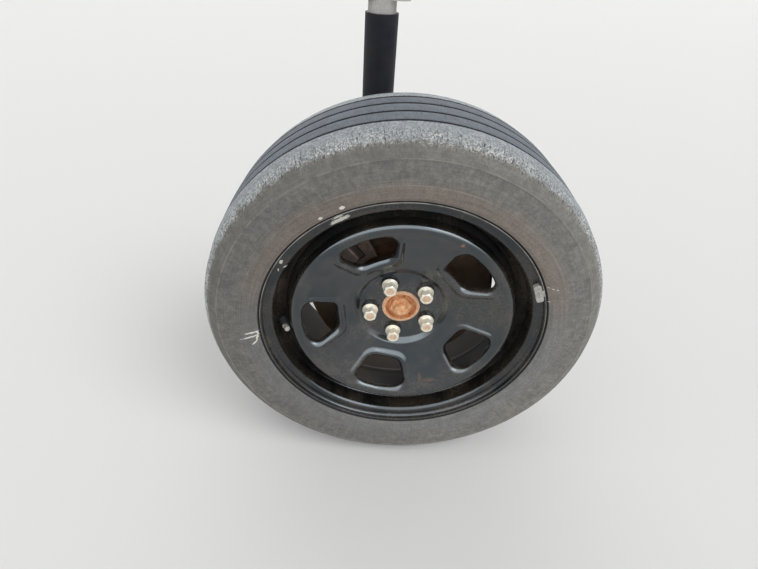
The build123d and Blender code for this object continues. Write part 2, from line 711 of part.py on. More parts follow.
def splash_plate():
    seat = HOUSING_BACK_Y + SHEET / 2.0
    body = spun_sheet([
        (HOUSING_RADIUS + 1.5, seat, 0.0),
        (KNUCKLE_RADIUS + SPLASH_SEAT_GAP, seat, 4.0),
        (KNUCKLE_RADIUS + SPLASH_SEAT_GAP + SPLASH_STEP, SPLASH_Y, 4.0),
        (SPLASH_RADIUS, SPLASH_Y, 3.0),
        (SPLASH_RADIUS, SPLASH_Y - SPLASH_LIP, 0.0),
    ], SHEET)
    opening = KNUCKLE_RADIUS + SPLASH_SEAT_GAP + SPLASH_STEP + 2.0
    body -= sector(opening, SPLASH_RADIUS * 1.2, CALIPER_ANGLE, BRACKET_SPAN + 4.0, 0.0, SPLASH_Y * 2.0)
    for x, z in bearing_bolt_places():
        body -= along_y(BEARING_BOLT_RADIUS + THREAD_GAP, 0.0, KNUCKLE_FACE_Y * 2.0, x, z)
    return body


def caliper_lug_places():
    for side in (-1, 1):
        yield side, *polar(CALIPER_LUG_RADIUS, CALIPER_ANGLE + side * CALIPER_LUG_ANGLE)


def knuckle_bore():
    """Space in the knuckle for the bearing, the joint, its boot and the splash plate."""
    pilot_back = HOUSING_BACK_Y + HOUSING_PILOT
    far = DAMPER_Y + DAMPER_EYE_RADIUS * 3.0
    bore = along_y(JOINT_BORE, pilot_back, far)
    bore += along_y(BOOT_BORE, KNUCKLE_BACK_Y, JOINT_MOUTH + BOOT_CUFF)
    bore += along_y(HOUSING_RADIUS + 1.0, 0.0, pilot_back)
    plate = SPLASH_Y + SHEET * 2.0
    return bore + (along_y(SPLASH_RADIUS * 2.0, 0.0, plate) - along_y(KNUCKLE_RADIUS, 0.0, plate))


def cast_plate(outline, x0, x1):
    """Arm drawn in Y and Z, made solid between two planes across X, with its rims rounded."""
    plate = extrude(Plane.YZ.offset(x0) * outline, amount=x1 - x0)
    rims = plate.faces().sort_by(Axis.X)
    return fillet(rims[0].edges() + rims[-1].edges(), CAST_ROUND)


def knuckle_arm(x, y, z, ear, bolt, width, root_z, root):
    """Arm to a link's bushing, hollowed on both sides so that a web and a rim are left."""
    eye = Pos(y, z) * Circle(ear)
    outline = make_hull((eye + Pos(KNUCKLE_FACE_Y + root, root_z) * Circle(root)).edges())
    arm = cast_plate(outline, x - width / 2.0, x + width / 2.0)
    pocket = offset(outline, -ARM_RIM) - Pos(y, z) * Circle(ear + ARM_RIM / 2.0)
    pocket -= Pos(0, z) * Rectangle(2.0 * (KNUCKLE_BACK_Y + ARM_RIM), 6.0 * abs(z))
    for side in (-1, 1):
        face = x + side * width / 2.0
        arm -= extrude(Plane.YZ.offset(face) * pocket, amount=-side * (width - ARM_WEB) / 2.0)
    return arm


def knuckle():
    back = KNUCKLE_BACK_Y
    body = turned([
        (HOUSING_RADIUS + 1.0, KNUCKLE_FACE_Y, 0.0),
        (KNUCKLE_RADIUS, KNUCKLE_FACE_Y, 3.0),
        (KNUCKLE_RADIUS, back, 4.0),
        (JOINT_BORE, back, 0.0),
        (JOINT_BORE, HOUSING_BACK_Y + HOUSING_PILOT, 0.0),
        (HOUSING_RADIUS + 1.0, HOUSING_BACK_Y + HOUSING_PILOT, 0.0),
    ])
    bore = knuckle_bore()
    for link in LINKS.values():
        body += knuckle_arm(*link) - bore
    pad_side = TRAILING_SPACING + 2.0 * TRAILING_BOSS
    pad = Pos(TRAILING_Y, TRAILING_Z) * RectangleRounded(50.0, pad_side, 12.0)
    root = Pos(KNUCKLE_FACE_Y + 20.0, TRAILING_Z - 4.0) * Circle(20.0)
    arm = cast_plate(make_hull((pad + root).edges()), TRAILING_X - TRAILING_WIDTH, TRAILING_X)
    body += arm - bore
    ears = DAMPER_EYE_WIDTH / 2.0 + DAMPER_EYE_GAP + CLEVIS_EAR
    eye = Pos(DAMPER_Y, DAMPER_EYE_Z) * Circle(DAMPER_EYE_RADIUS)
    root = Pos(KNUCKLE_FACE_Y + 20.0, -24.0) * Circle(20.0)
    clevis = cast_plate(make_hull((eye + root).edges()), DAMPER_X - ears, DAMPER_X + ears)
    reach = DAMPER_EYE_RADIUS + SLOT_GAP
    slot = Box(DAMPER_EYE_WIDTH + 2.0 * DAMPER_EYE_GAP, 4.0 * reach, 6.0 * reach)
    clevis -= Pos(DAMPER_X, DAMPER_Y + reach, DAMPER_EYE_Z) * slot
    body += clevis - bore
    for _, x, z in caliper_lug_places():
        lug = make_hull((Pos(x, z) * Circle(LUG_BOSS) + Pos(x * 0.45, z * 0.45) * Circle(22.0)).edges())
        body += slab(lug, CALIPER_LUG_Y, back) - bore
    for x, y, z, ear, bolt, width, root_z, root in LINKS.values():
        body -= along_x(bolt + SLEEVE_WALL + BUSH_WALL, x - width, x + width, y, z)
    for x, z in bearing_bolt_places():
        body -= along_y(BEARING_BOLT_RADIUS + THREAD_GAP, KNUCKLE_FACE_Y - 1.0, back + 1.0, x, z)
        body -= along_y(BEARING_BOLT_RADIUS * 1.9 + 1.0, back, back + 40.0, x, z)
    for _, x, z in caliper_lug_places():
        body -= along_y(LUG_HOLE, CALIPER_LUG_Y - 1.0, back + 1.0, x, z)
    for side in (-1, 1):
        z = TRAILING_Z + side * TRAILING_SPACING / 2.0
        body -= along_x(TRAILING_HOLE, TRAILING_X - TRAILING_WIDTH - 1.0, TRAILING_X + 1.0, TRAILING_Y, z)
    body -= along_x(DAMPER_BOLT_RADIUS, DAMPER_X - ears - 1.0, DAMPER_X + ears + 1.0, DAMPER_Y, DAMPER_EYE_Z)
    return body


def link_bushings():
    rings = []
    for x, y, z, ear, bolt, width, root_z, root in LINKS.values():
        outer = bolt + SLEEVE_WALL + BUSH_WALL
        ring = along_x(outer, x - width / 2.0, x + width / 2.0, y, z)
        rings.append(ring - along_x(bolt + SLEEVE_WALL, x - width, x + width, y, z))
    return Compound(children=rings)


def link_sleeves():
    rings = []
    for x, y, z, ear, bolt, width, root_z, root in LINKS.values():
        half = width / 2.0 + SLEEVE_PROUD
        ring = along_x(bolt + SLEEVE_WALL, x - half, x + half, y, z)
        rings.append(ring - along_x(bolt, x - width, x + width, y, z))
    return Compound(children=rings)


def caliper_bracket():
    """Bracket with two legs over the brake disc's edge, tied on both sides of it."""
    middle = CALIPER_ANGLE
    inner_span = PAD_SPAN + 1.5
    half = (BRACKET_SPAN - inner_span) / 2.0
    outer = CALIPER_OUTER - 3.0
    front = BRAKE_FACE_Y - BRACKET_DEPTH
    back = BRAKE_BACK_Y + BRACKET_DEPTH
    body = sector(PAD_INNER - 8.0, PAD_INNER + 2.0, middle, BRACKET_SPAN, front, BRAKE_FACE_Y - 6.0)
    body += sector(PAD_INNER - 9.0, PAD_INNER - 1.0, middle, BRACKET_SPAN, back, CALIPER_LUG_Y)
    for side in (-1, 1):
        centre = middle + side * (inner_span + half)
        body += sector(PAD_INNER, outer, centre, half, front, BRAKE_FACE_Y - ROTOR_CLEARANCE)
        body += sector(BRIDGE_INNER, outer, centre, half, front, CALIPER_LUG_Y)
        body += sector(PAD_INNER - 2.0, outer, centre, half, BRAKE_BACK_Y + ROTOR_CLEARANCE, CALIPER_LUG_Y)
    for _, x, z in caliper_lug_places():
        body += along_y(LUG_BOSS, back - 2.0, CALIPER_LUG_Y, x, z)
    for _, x, z in caliper_lug_places():
        body -= along_y(LUG_HOLE, 0.0, CALIPER_LUG_Y + 1.0, x, z)
    return body


def bracket_bolts():
    bolts = []
    for _, x, z in caliper_lug_places():
        shank = along_y(LUG_HOLE - THREAD_GAP, BRAKE_BACK_Y + BRACKET_DEPTH - 1.0, KNUCKLE_BACK_Y, x, z)
        bolts.append(shank + hexagon(17.0, KNUCKLE_BACK_Y, KNUCKLE_BACK_Y + 8.0, x, z))
    return Compound(children=bolts)


def brake_pads():
    pads = []
    for face, way in ((BRAKE_FACE_Y, -1.0), (BRAKE_BACK_Y, 1.0)):
        near = face + way * PAD_GAP
        lining = sector(PAD_INNER + 5.0, PAD_OUTER, CALIPER_ANGLE, PAD_SPAN - 3.0, near, near + way * LINING)
        plate = sector(
            PAD_INNER + 4.0, PAD_OUTER + 3.0, CALIPER_ANGLE, PAD_SPAN,
            near + way * LINING, near + way * (LINING + PAD_PLATE),
        )
        pads.append(lining + plate)
    return Compound(children=pads)


def caliper():
    """Sliding caliper: slotted finger, bridge with its opening, piston housing and two ears."""
    middle = CALIPER_ANGLE
    outside = BRAKE_FACE_Y - PAD_STACK
    inside = BRAKE_BACK_Y + PAD_STACK
    front = outside - FINGER
    back = inside + HOUSING_PLATE
    span = PAD_SPAN - 2.5
    body = sector(PAD_INNER + 8.0, CALIPER_OUTER, middle, span, front, outside, CALIPER_CORNER)
    body += sector(BRIDGE_INNER, CALIPER_OUTER, middle, span, outside - 1.0, inside + 1.0)
    body += sector(PAD_INNER + 3.0, CALIPER_OUTER, middle, span, inside, back, CALIPER_CORNER)
    body &= sector(PAD_INNER, CALIPER_OUTER, middle, span, front, back, CALIPER_CORNER)
    body = fillet(body.faces().sort_by(Axis.Y)[0].edges(), CAST_ROUND)
    body -= sector(HAT_RADIUS, PAD_OUTER - 14.0, middle, 4.0, front - 1.0, outside + 1.0, 3.0)
    x, z = polar(PAD_OUTER, middle)
    outward = (cos(radians(middle)), 0, sin(radians(middle)))
    over = Plane(origin=(x, (BRAKE_FACE_Y + BRAKE_BACK_Y) / 2.0, z), x_dir=(0, 1, 0), z_dir=outward)
    opening = RectangleRounded(BRAKE_RING + 4.0, PISTON_RADIUS * 1.3, CAST_ROUND)
    body -= extrude(over * opening, amount=CALIPER_OUTER - PAD_OUTER + 5.0)
    x, z = polar((PAD_INNER + PAD_OUTER) / 2.0 + 3.0, middle)
    cylinder = along_y(PISTON_RADIUS, inside, inside + PISTON_LENGTH, x, z)
    body += fillet(cylinder.edges().sort_by(Axis.Y)[-1], CALIPER_CORNER)
    for side in (-1, 1):
        px, pz = pin_place(side)
        ear = make_hull(((Pos(px, pz) * Circle(10.0)) + (Pos(x, z) * Circle(14.0))).edges())
        ear = slab(ear, inside + PIN_EAR, inside + PIN_EAR + 8.0)
        body += ear - along_y(PISTON_RADIUS - 1.0, inside, inside + 2.0 * PISTON_LENGTH, x, z)
    for side in (-1, 1):
        px, pz = pin_place(side)
        body -= along_y(PIN_RADIUS + THREAD_GAP, inside, inside + 2.0 * PISTON_LENGTH, px, pz)
    return body


def pin_place(side):
    return polar(CALIPER_OUTER - 22.0, CALIPER_ANGLE + side * (PAD_SPAN + 6.5))


def guide_pins():
    back = BRAKE_BACK_Y + PAD_STACK + PIN_EAR + 8.0
    pins = []
    for side in (-1, 1):
        x, z = pin_place(side)
        pin = along_y(PIN_RADIUS, CALIPER_LUG_Y, back, x, z)
        pins.append(pin + hexagon(14.0, back, back + 7.0, x, z))
    return Compound(children=pins)


def pin_boots():
    """Rubber sleeves with two folds between the bracket and the caliper's ears."""
    start = CALIPER_LUG_Y
    end = BRAKE_BACK_Y + PAD_STACK + PIN_EAR
    boots = []
    for side in (-1, 1):
        x, z = pin_place(side)
        boot = along_y(7.5, start, end, x, z)
        for share in (0.1, 0.5, 0.9):
            middle = start + (end - start) * share
            boot += along_y(9.0, middle - 0.9, middle + 0.9, x, z)
        boots.append(boot - along_y(PIN_RADIUS, start - 1.0, end + 1.0, x, z))
    return Compound(children=boots)


def damper_tube():
    bottom = DAMPER_EYE_Z + DAMPER_EYE_RADIUS + 4.0
    body = along_z(DAMPER_TUBE_RADIUS, bottom, DAMPER_TUBE_TOP, DAMPER_X, DAMPER_Y)
    body += along_z(DAMPER_EYE_WIDTH * 0.42, DAMPER_EYE_Z + 12.0, bottom, DAMPER_X, DAMPER_Y)
    x0 = DAMPER_X - DAMPER_EYE_WIDTH / 2.0
    x1 = DAMPER_X + DAMPER_EYE_WIDTH / 2.0
    body += along_x(DAMPER_EYE_RADIUS, x0, x1, DAMPER_Y, DAMPER_EYE_Z)
    body -= along_x(DAMPER_EYE_RADIUS - DAMPER_EYE_WALL, x0 - 1.0, x1 + 1.0, DAMPER_Y, DAMPER_EYE_Z)
    body -= along_z(ROD_RADIUS + 0.1, DAMPER_TUBE_TOP - ROD_GRIP, DAMPER_TUBE_TOP + 1.0, DAMPER_X, DAMPER_Y)
    return body


def damper_bush():
    x0 = DAMPER_X - DAMPER_EYE_WIDTH / 2.0
    x1 = DAMPER_X + DAMPER_EYE_WIDTH / 2.0
    ring = along_x(DAMPER_EYE_RADIUS - DAMPER_EYE_WALL, x0, x1, DAMPER_Y, DAMPER_EYE_Z)
    return ring - along_x(DAMPER_BOLT_RADIUS, x0 - 1.0, x1 + 1.0, DAMPER_Y, DAMPER_EYE_Z)


def damper_bolt():
    reach = DAMPER_EYE_WIDTH / 2.0 + DAMPER_EYE_GAP + CLEVIS_EAR
    shank = along_x(DAMPER_BOLT_RADIUS, DAMPER_X - reach - 14.0, DAMPER_X + reach, DAMPER_Y, DAMPER_EYE_Z)
    outline = Pos(DAMPER_Y, DAMPER_EYE_Z) * RegularPolygon(10.5, 6, major_radius=False)
    head = extrude(Plane.YZ.offset(DAMPER_X + reach) * outline, amount=9.0)
    nut = extrude(Plane.YZ.offset(DAMPER_X - reach - 11.0) * outline, amount=11.0)
    return shank + head + nut


def damper_cover():
    top = DAMPER_TOP - MOUNT_BOSS
    tube = along_z(COVER_RADIUS, COVER_BOTTOM, top, DAMPER_X, DAMPER_Y)
    tube -= along_z(COVER_RADIUS - COVER_WALL, COVER_BOTTOM - 1.0, top - COVER_WALL, DAMPER_X, DAMPER_Y)
    return tube - along_z(ROD_RADIUS + 0.1, top - COVER_WALL - 1.0, top + 1.0, DAMPER_X, DAMPER_Y)


def damper_rod():
    rod = along_z(ROD_RADIUS, DAMPER_TUBE_TOP - ROD_GRIP, DAMPER_TOP + TOP_PLATE + 14.0, DAMPER_X, DAMPER_Y)
    return chamfer(rod.edges().sort_by(Axis.Z)[-1], 1.0)


def damper_mount():
    bottom = DAMPER_TOP - MOUNT_BOSS
    top = DAMPER_TOP + TOP_PLATE + 4.0
    boss = along_z(24.0, bottom, top, DAMPER_X, DAMPER_Y)
    plate = RectangleRounded(TOP_SPACING + 26.0, TOP_WIDTH, 12.0)
    body = boss + extrude(Plane.XY.offset(DAMPER_TOP) * Pos(DAMPER_X, DAMPER_Y) * plate, amount=TOP_PLATE)
    body -= along_z(ROD_RADIUS + 0.1, bottom - 1.0, top + 1.0, DAMPER_X, DAMPER_Y)
    for side in (-1, 1):
        x = DAMPER_X + side * TOP_SPACING / 2.0
        body -= along_z(TOP_HOLE, DAMPER_TOP - 1.0, DAMPER_TOP + TOP_PLATE + 1.0, x, DAMPER_Y)
    return body


def balance_weight():
    """Clip-on weight that hangs inside the rim's outer lip."""
    lip = RIM_RADIUS - RIM_WALL
    edge = -FLANGE_Y - FLANGE_WIDTH
    clip = lip - WEIGHT_HEIGHT / 2.0
    body = sector(lip - WEIGHT_HEIGHT, lip, WEIGHT_ANGLE, WEIGHT_HALF, edge + 0.6, edge + WEIGHT_DEPTH, 5.0)
    body += sector(clip, RIM_RADIUS - 0.3, WEIGHT_ANGLE, WEIGHT_HALF / 3.0, edge - 1.2, edge + 2.0)
    return body - rim()


PIECES = {
    "tyre": tyre,
    "rim": rim,
    "wheel_disc": wheel_disc,
    "lug_nuts": lug_nuts,
    "wheel_studs": wheel_studs,
    "hub": hub,
    "brake_disc": brake_disc,
    "stub_axle": stub_axle,
    "axle_nut": axle_nut,
    "joint_race": joint_race,
    "joint_cage": joint_cage,
    "drive_shaft": drive_shaft,
    "joint_boot": joint_boot,
    "boot_bands": boot_bands,
    "bearing_housing": bearing_housing,
    "bearing_bolts": bearing_bolts,
    "splash_plate": splash_plate,
    "knuckle": knuckle,
    "link_bushings": link_bushings,
    "link_sleeves": link_sleeves,
    "caliper_bracket": caliper_bracket,
    "bracket_bolts": bracket_bolts,
    "brake_pads": brake_pads,
    "caliper": caliper,
    "guide_pins": guide_pins,
    "pin_boots": pin_boots,
    "damper_tube": damper_tube,
    "damper_bush": damper_bush,
    "damper_bolt": damper_bolt,
    "damper_cover": damper_cover,
    "damper_rod": damper_rod,
    "damper_mount": damper_mount,
    "valve_stem": valve_stem,
    "balance_weight": balance_weight,
}

def placed(piece):
    """Piece moved so that the lower arm pivot is the origin, solid by solid."""
    x, y, z = LINKS["lower_arm"][:3]
    solids = [Pos(-x, -y, -z) * solid for solid in piece.solids()]
    return solids[0] if len(solids) == 1 else Compound(children=solids)


if __name__ == "__main__":
    os.makedirs("parts", exist_ok=True)
    for name, make in PIECES.items():
        export_step(placed(make()), f"parts/{name}.step")
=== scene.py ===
"""Looks of the rear wheel end: worn tyre, gloss black steel wheel, rusty hub and brake, suspension.

Materials measure in metres from the wheel's centre, with X forward, Y inboard and Z up, so the outer
face looks along -Y. The tyre's and the disc's skins are drawn in millimetres from the same centre.
"""

from math import atan2, ceil, cos, hypot, pi, radians, sin, sqrt, tan

import bmesh
import bpy
import numpy as np
from mathutils import Matrix, Vector
from mathutils.geometry import delaunay_2d_cdt


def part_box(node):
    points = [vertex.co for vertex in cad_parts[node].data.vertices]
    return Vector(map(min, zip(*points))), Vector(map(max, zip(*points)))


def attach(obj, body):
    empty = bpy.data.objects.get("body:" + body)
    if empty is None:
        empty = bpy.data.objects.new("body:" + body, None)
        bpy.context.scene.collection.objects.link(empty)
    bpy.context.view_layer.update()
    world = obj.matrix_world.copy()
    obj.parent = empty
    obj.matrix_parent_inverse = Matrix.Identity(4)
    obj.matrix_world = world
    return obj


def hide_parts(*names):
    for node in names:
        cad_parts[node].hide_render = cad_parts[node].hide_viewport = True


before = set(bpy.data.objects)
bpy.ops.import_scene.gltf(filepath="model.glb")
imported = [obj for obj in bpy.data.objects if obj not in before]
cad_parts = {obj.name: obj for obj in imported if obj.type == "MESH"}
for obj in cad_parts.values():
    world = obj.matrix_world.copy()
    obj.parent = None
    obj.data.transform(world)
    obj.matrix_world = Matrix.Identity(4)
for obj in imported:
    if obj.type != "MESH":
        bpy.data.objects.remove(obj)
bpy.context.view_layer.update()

MM = 0.001
tyre_low, tyre_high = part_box("tyre")
WHEEL = (tyre_low + tyre_high) / 2.0
TYRE_RADIUS = (tyre_high.z - tyre_low.z) / 2.0
TYRE_HALF_WIDTH = (tyre_high.y - tyre_low.y) / 2.0
FLOOR_Z = tyre_low.z

# Camera, from the fit of the rim, nuts and tyre: place from the wheel's centre, and angles in degrees
PHOTO_WIDTH = 758.0
FOCAL_PIXELS = 482.0
SENSOR_WIDTH = 36.0
CAMERA_PLACE = (-0.068, -0.745, 0.568)
CAMERA_PITCH = 36.72
CAMERA_YAW = 2.01
CAMERA_ROLL = 3.96


def camera():
    pitch = radians(CAMERA_PITCH)
    yaw = radians(CAMERA_YAW)
    roll = radians(CAMERA_ROLL)
    ahead = Vector((sin(yaw) * cos(pitch), cos(yaw) * cos(pitch), -sin(pitch)))
    right = Vector((cos(yaw), -sin(yaw), 0.0))
    up = right.cross(ahead)
    side = cos(roll) * right + sin(roll) * up
    top = -sin(roll) * right + cos(roll) * up
    lens = bpy.data.cameras.new("camera")
    lens.sensor_width = SENSOR_WIDTH
    lens.lens = FOCAL_PIXELS * SENSOR_WIDTH / PHOTO_WIDTH
    lens.clip_start = 0.01
    holder = bpy.data.objects.new("camera", lens)
    holder.matrix_world = Matrix((
        (side.x, top.x, -ahead.x, WHEEL.x + CAMERA_PLACE[0]),
        (side.y, top.y, -ahead.y, WHEEL.y + CAMERA_PLACE[1]),
        (side.z, top.z, -ahead.z, WHEEL.z + CAMERA_PLACE[2]),
        (0.0, 0.0, 0.0, 1.0),
    ))
    bpy.context.scene.collection.objects.link(holder)
    bpy.context.scene.camera = holder


class Shader:
    """A node material in the making: most calls add nodes and return an output socket."""

    def __init__(self, name, roughness=0.5, metallic=0.0, specular=0.5):
        self.material = bpy.data.materials.new(name)
        self.material.use_nodes = True
        self.nodes = self.material.node_tree.nodes
        self.links = self.material.node_tree.links
        self.surface = self.nodes["Principled BSDF"]
        self.surface.inputs["Roughness"].default_value = roughness
        self.surface.inputs["Metallic"].default_value = metallic
        self.surface.inputs["Specular IOR Level"].default_value = specular
        place = self.node("ShaderNodeTexCoord").outputs["Object"]
        self.place = self.vector("SUBTRACT", place, tuple(WHEEL))
        self.x, self.y, self.z = self.split(self.place)
        self.bumps = None

    def node(self, kind, **settings):
        made = self.nodes.new(kind)
        for name, value in settings.items():
            setattr(made, name, value)
        return made

    def put(self, socket, value):
        """Give a socket its value: another socket, or a constant."""
        if isinstance(value, bpy.types.NodeSocket):
            self.links.new(value, socket)
        elif socket.type == "RGBA" and len(value) == 3:
            socket.default_value = (*value, 1.0)
        else:
            socket.default_value = value

    def math(self, operation, a, b=0.0):
        made = self.node("ShaderNodeMath", operation=operation)
        self.put(made.inputs[0], a)
        self.put(made.inputs[1], b)
        return made.outputs[0]

    def plus(self, a, b):
        return self.math("ADD", a, b)

    def minus(self, a, b):
        return self.math("SUBTRACT", a, b)

    def times(self, a, b):
        return self.math("MULTIPLY", a, b)

    def larger(self, a, b):
        return self.math("MAXIMUM", a, b)

    def vector(self, operation, a, b):
        made = self.node("ShaderNodeVectorMath", operation=operation)
        self.put(made.inputs[0], a)
        self.put(made.inputs[1], b)
        return made.outputs[0]

    def split(self, vector):
        made = self.node("ShaderNodeSeparateXYZ")
        self.put(made.inputs[0], vector)
        return made.outputs[0], made.outputs[1], made.outputs[2]

    def join(self, x, y, z):
        made = self.node("ShaderNodeCombineXYZ")
        for socket, value in zip(made.inputs, (x, y, z)):
            self.put(socket, value)
        return made.outputs[0]

    def step(self, value, low, high, start=0.0, end=1.0):
        """Smooth change from start to end as value goes from low to high."""
        made = self.node("ShaderNodeMapRange", interpolation_type="SMOOTHSTEP")
        if low > high:
            low, high, start, end = high, low, end, start
        for name, number in (("From Min", low), ("From Max", high), ("To Min", start), ("To Max", end)):
            made.inputs[name].default_value = number
        self.put(made.inputs["Value"], value)
        return made.outputs["Result"]

    def band(self, value, middle, half, soft):
        """One within half of the middle, falling to nothing over soft."""
        away = self.math("ABSOLUTE", self.minus(value, middle))
        return self.step(away, half, half + soft, 1.0, 0.0)

    def noise(self, scale, detail=3.0, rough=0.55, place=None):
        made = self.node("ShaderNodeTexNoise")
        self.put(made.inputs["Vector"], self.place if place is None else place)
        made.inputs["Scale"].default_value = scale
        made.inputs["Detail"].default_value = detail
        made.inputs["Roughness"].default_value = rough
        return made.outputs["Fac"]

    def shifted(self, offset):
        """Place moved by an offset, for a noise of its own at a scale near another's."""
        return self.vector("ADD", self.place, offset)

    def mix(self, a, b, amount, blend="MIX"):
        """Colour from a to b. A Mix node's colour sockets go by number, as its kinds share their names."""
        made = self.node("ShaderNodeMix", data_type="RGBA", blend_type=blend)
        self.put(made.inputs["Factor"], amount)
        self.put(made.inputs[6], a)
        self.put(made.inputs[7], b)
        return made.outputs[2]

    def scaled(self, colour, amount):
        """Colour made lighter or darker by a number that varies over the surface."""
        return self.mix(colour, amount, 1.0, "MULTIPLY")

    def polar(self):
        """Distance from the wheel's axis, and the direction around it as two numbers."""
        flat = self.join(self.x, 0.0, self.z)
        length = self.node("ShaderNodeVectorMath", operation="LENGTH")
        self.put(length.inputs[0], flat)
        way = self.node("ShaderNodeVectorMath", operation="NORMALIZE")
        self.put(way.inputs[0], flat)
        across, _, up = self.split(way.outputs[0])
        return length.outputs["Value"], across, up

    def around(self, turns, outward, radius, across, up):
        """Noise place with turns cells to each radian about the axis, and outward to each metre."""
        return self.join(self.times(across, turns), self.times(radius, outward), self.times(up, turns))

    def bump(self, height, distance, strength):
        made = self.node("ShaderNodeBump")
        made.inputs["Strength"].default_value = strength
        made.inputs["Distance"].default_value = distance
        self.put(made.inputs["Height"], height)
        if self.bumps is not None:
            self.links.new(self.bumps, made.inputs["Normal"])
        self.bumps = made.outputs["Normal"]

    def soft_edges(self, radius):
        """Edges shaded as if they were rounded by a radius."""
        made = self.node("ShaderNodeBevel", samples=8)
        made.inputs["Radius"].default_value = radius
        self.bumps = made.outputs["Normal"]

    def done(self, colour, roughness=None, metallic=None):
        self.put(self.surface.inputs["Base Color"], colour)
        if roughness is not None:
            self.put(self.surface.inputs["Roughness"], roughness)
        if metallic is not None:
            self.put(self.surface.inputs["Metallic"], metallic)
        if self.bumps is not None:
            self.links.new(self.bumps, self.surface.inputs["Normal"])
        return self.material


MARK_GRAIN = 300.0
MARK_RAGGED = 2.4


def marks(s, places, soft):
    """Mask of small ragged ellipses on the outer face: x, z, half length, half width, turn in degrees."""
    ragged = s.times(s.minus(s.noise(MARK_GRAIN), 0.5), MARK_RAGGED)
    total = None
    for x, z, long, wide, turn in places:
        c = cos(radians(turn))
        d = sin(radians(turn))
        dx = s.minus(s.x, x)
        dz = s.minus(s.z, z)
        u = s.plus(s.times(dx, c / long), s.times(dz, d / long))
        v = s.plus(s.times(dx, -d / wide), s.times(dz, c / wide))
        away = s.plus(s.times(u, u), s.times(v, v))
        mask = s.step(s.plus(away, ragged), 1.0, 1.0 - soft)
        total = mask if total is None else s.larger(total, mask)
    return total


# Rubber colours, as they look in even light. The tread's grey is its rubber darkened by painted shade, as
# under a wheel arch.
TREAD_GREY_AND_SHADE = (0.084, 0.096, 0.111)
SHOULDER_GREY = (0.275, 0.298, 0.312)
SCUFF_PALE = (0.66, 0.66, 0.63)
BAND_DARK = (0.165, 0.160, 0.146)
SIDEWALL_GREY = (0.155, 0.154, 0.149)
SIDEWALL_TAN = (0.186, 0.176, 0.160)
SIDEWALL_BROWN = (0.196, 0.170, 0.148)
BEAD_GREY = (0.176, 0.176, 0.174)
CRACK_DARK = (0.03, 0.03, 0.032)
# Painted shade, for the grooves and for the gap where the rubber meets the rim:
GROOVE_SHADE_DARK = (0.014, 0.015, 0.018)
RIM_GAP_SHADE = (0.006, 0.006, 0.007)
CHALK = (0.72, 0.70, 0.64)

# Tread, from the wheel's middle plane, and where the zones of the rubber fade in, by distance from that
# plane or by radius
GROOVES = (-0.0583, -0.0198, 0.0198, 0.0583)
GROOVE_WIDTH = 0.0078
GROOVE_DEPTH = 0.0060
GROOVE_EDGE = 0.08 * GROOVE_DEPTH
GROOVE_SHADE = 0.0006
CROWN_SLOPE = 1.5 / 64.0
SHOULDER_ZONE = (0.0585, 0.0615)
GROOVE_ZONE = (0.063, 0.062)
SIDE_ZONE = (0.098, 0.106)
OUTER_SIDE = (0.100, 0.110)
WALL_ZONE = (0.3405, 0.3355)
BAND_ZONE = (0.3185, 0.3225)
BEAD_ZONE = (0.268, 0.292)
RIM_GAP = (0.2522, 0.2512)
SCUFF_SIDE = (0.086, 0.098)
SCUFF_ZONE = (0.3320, 0.3400)
NICK_SIDE = (0.070, 0.092)
NICK_ZONE = (0.328, 0.336)

# Pale rings on the sidewall: radius, half width, soft edge, colour, wear from and to, strength from and to
WALL_RINGS = (
    (0.3180, 0.0006, 0.0010, (0.26, 0.245, 0.22), 0.38, 0.58, 0.15, 0.75),
    (0.2795, 0.0004, 0.0010, (0.25, 0.235, 0.21), 0.42, 0.62, 0.05, 0.55),
    (0.2590, 0.0003, 0.0008, (0.24, 0.225, 0.20), 0.42, 0.62, 0.05, 0.40),
)

# Marks on the sidewall: x, z, half length, half width, turn
CHALK_STROKES = (
    (-0.2645, -0.0167, 0.0140, 0.0020, 10.0),
    (-0.2661, -0.0261, 0.0182, 0.0020, 15.0),
    (-0.2535, -0.0180, 0.0050, 0.0019, -70.0),
    (-0.2545, -0.0275, 0.0070, 0.0019, -105.0),
    (-0.2590, -0.0388, 0.0080, 0.0019, -131.0),
)
PALE_FLECKS = (
    (-0.1071, 0.2374, 0.0050, 0.0038, 27.0),
    (-0.1389, 0.2166, 0.0042, 0.0032, 20.0),
    (0.2300, 0.1102, 0.0022, 0.0009, -8.0),
    (0.2370, 0.1093, 0.0024, 0.0009, -8.0),
    (0.2445, 0.1084, 0.0022, 0.0009, -8.0),
    (0.2391, 0.0800, 0.0030, 0.0008, 19.0),
)


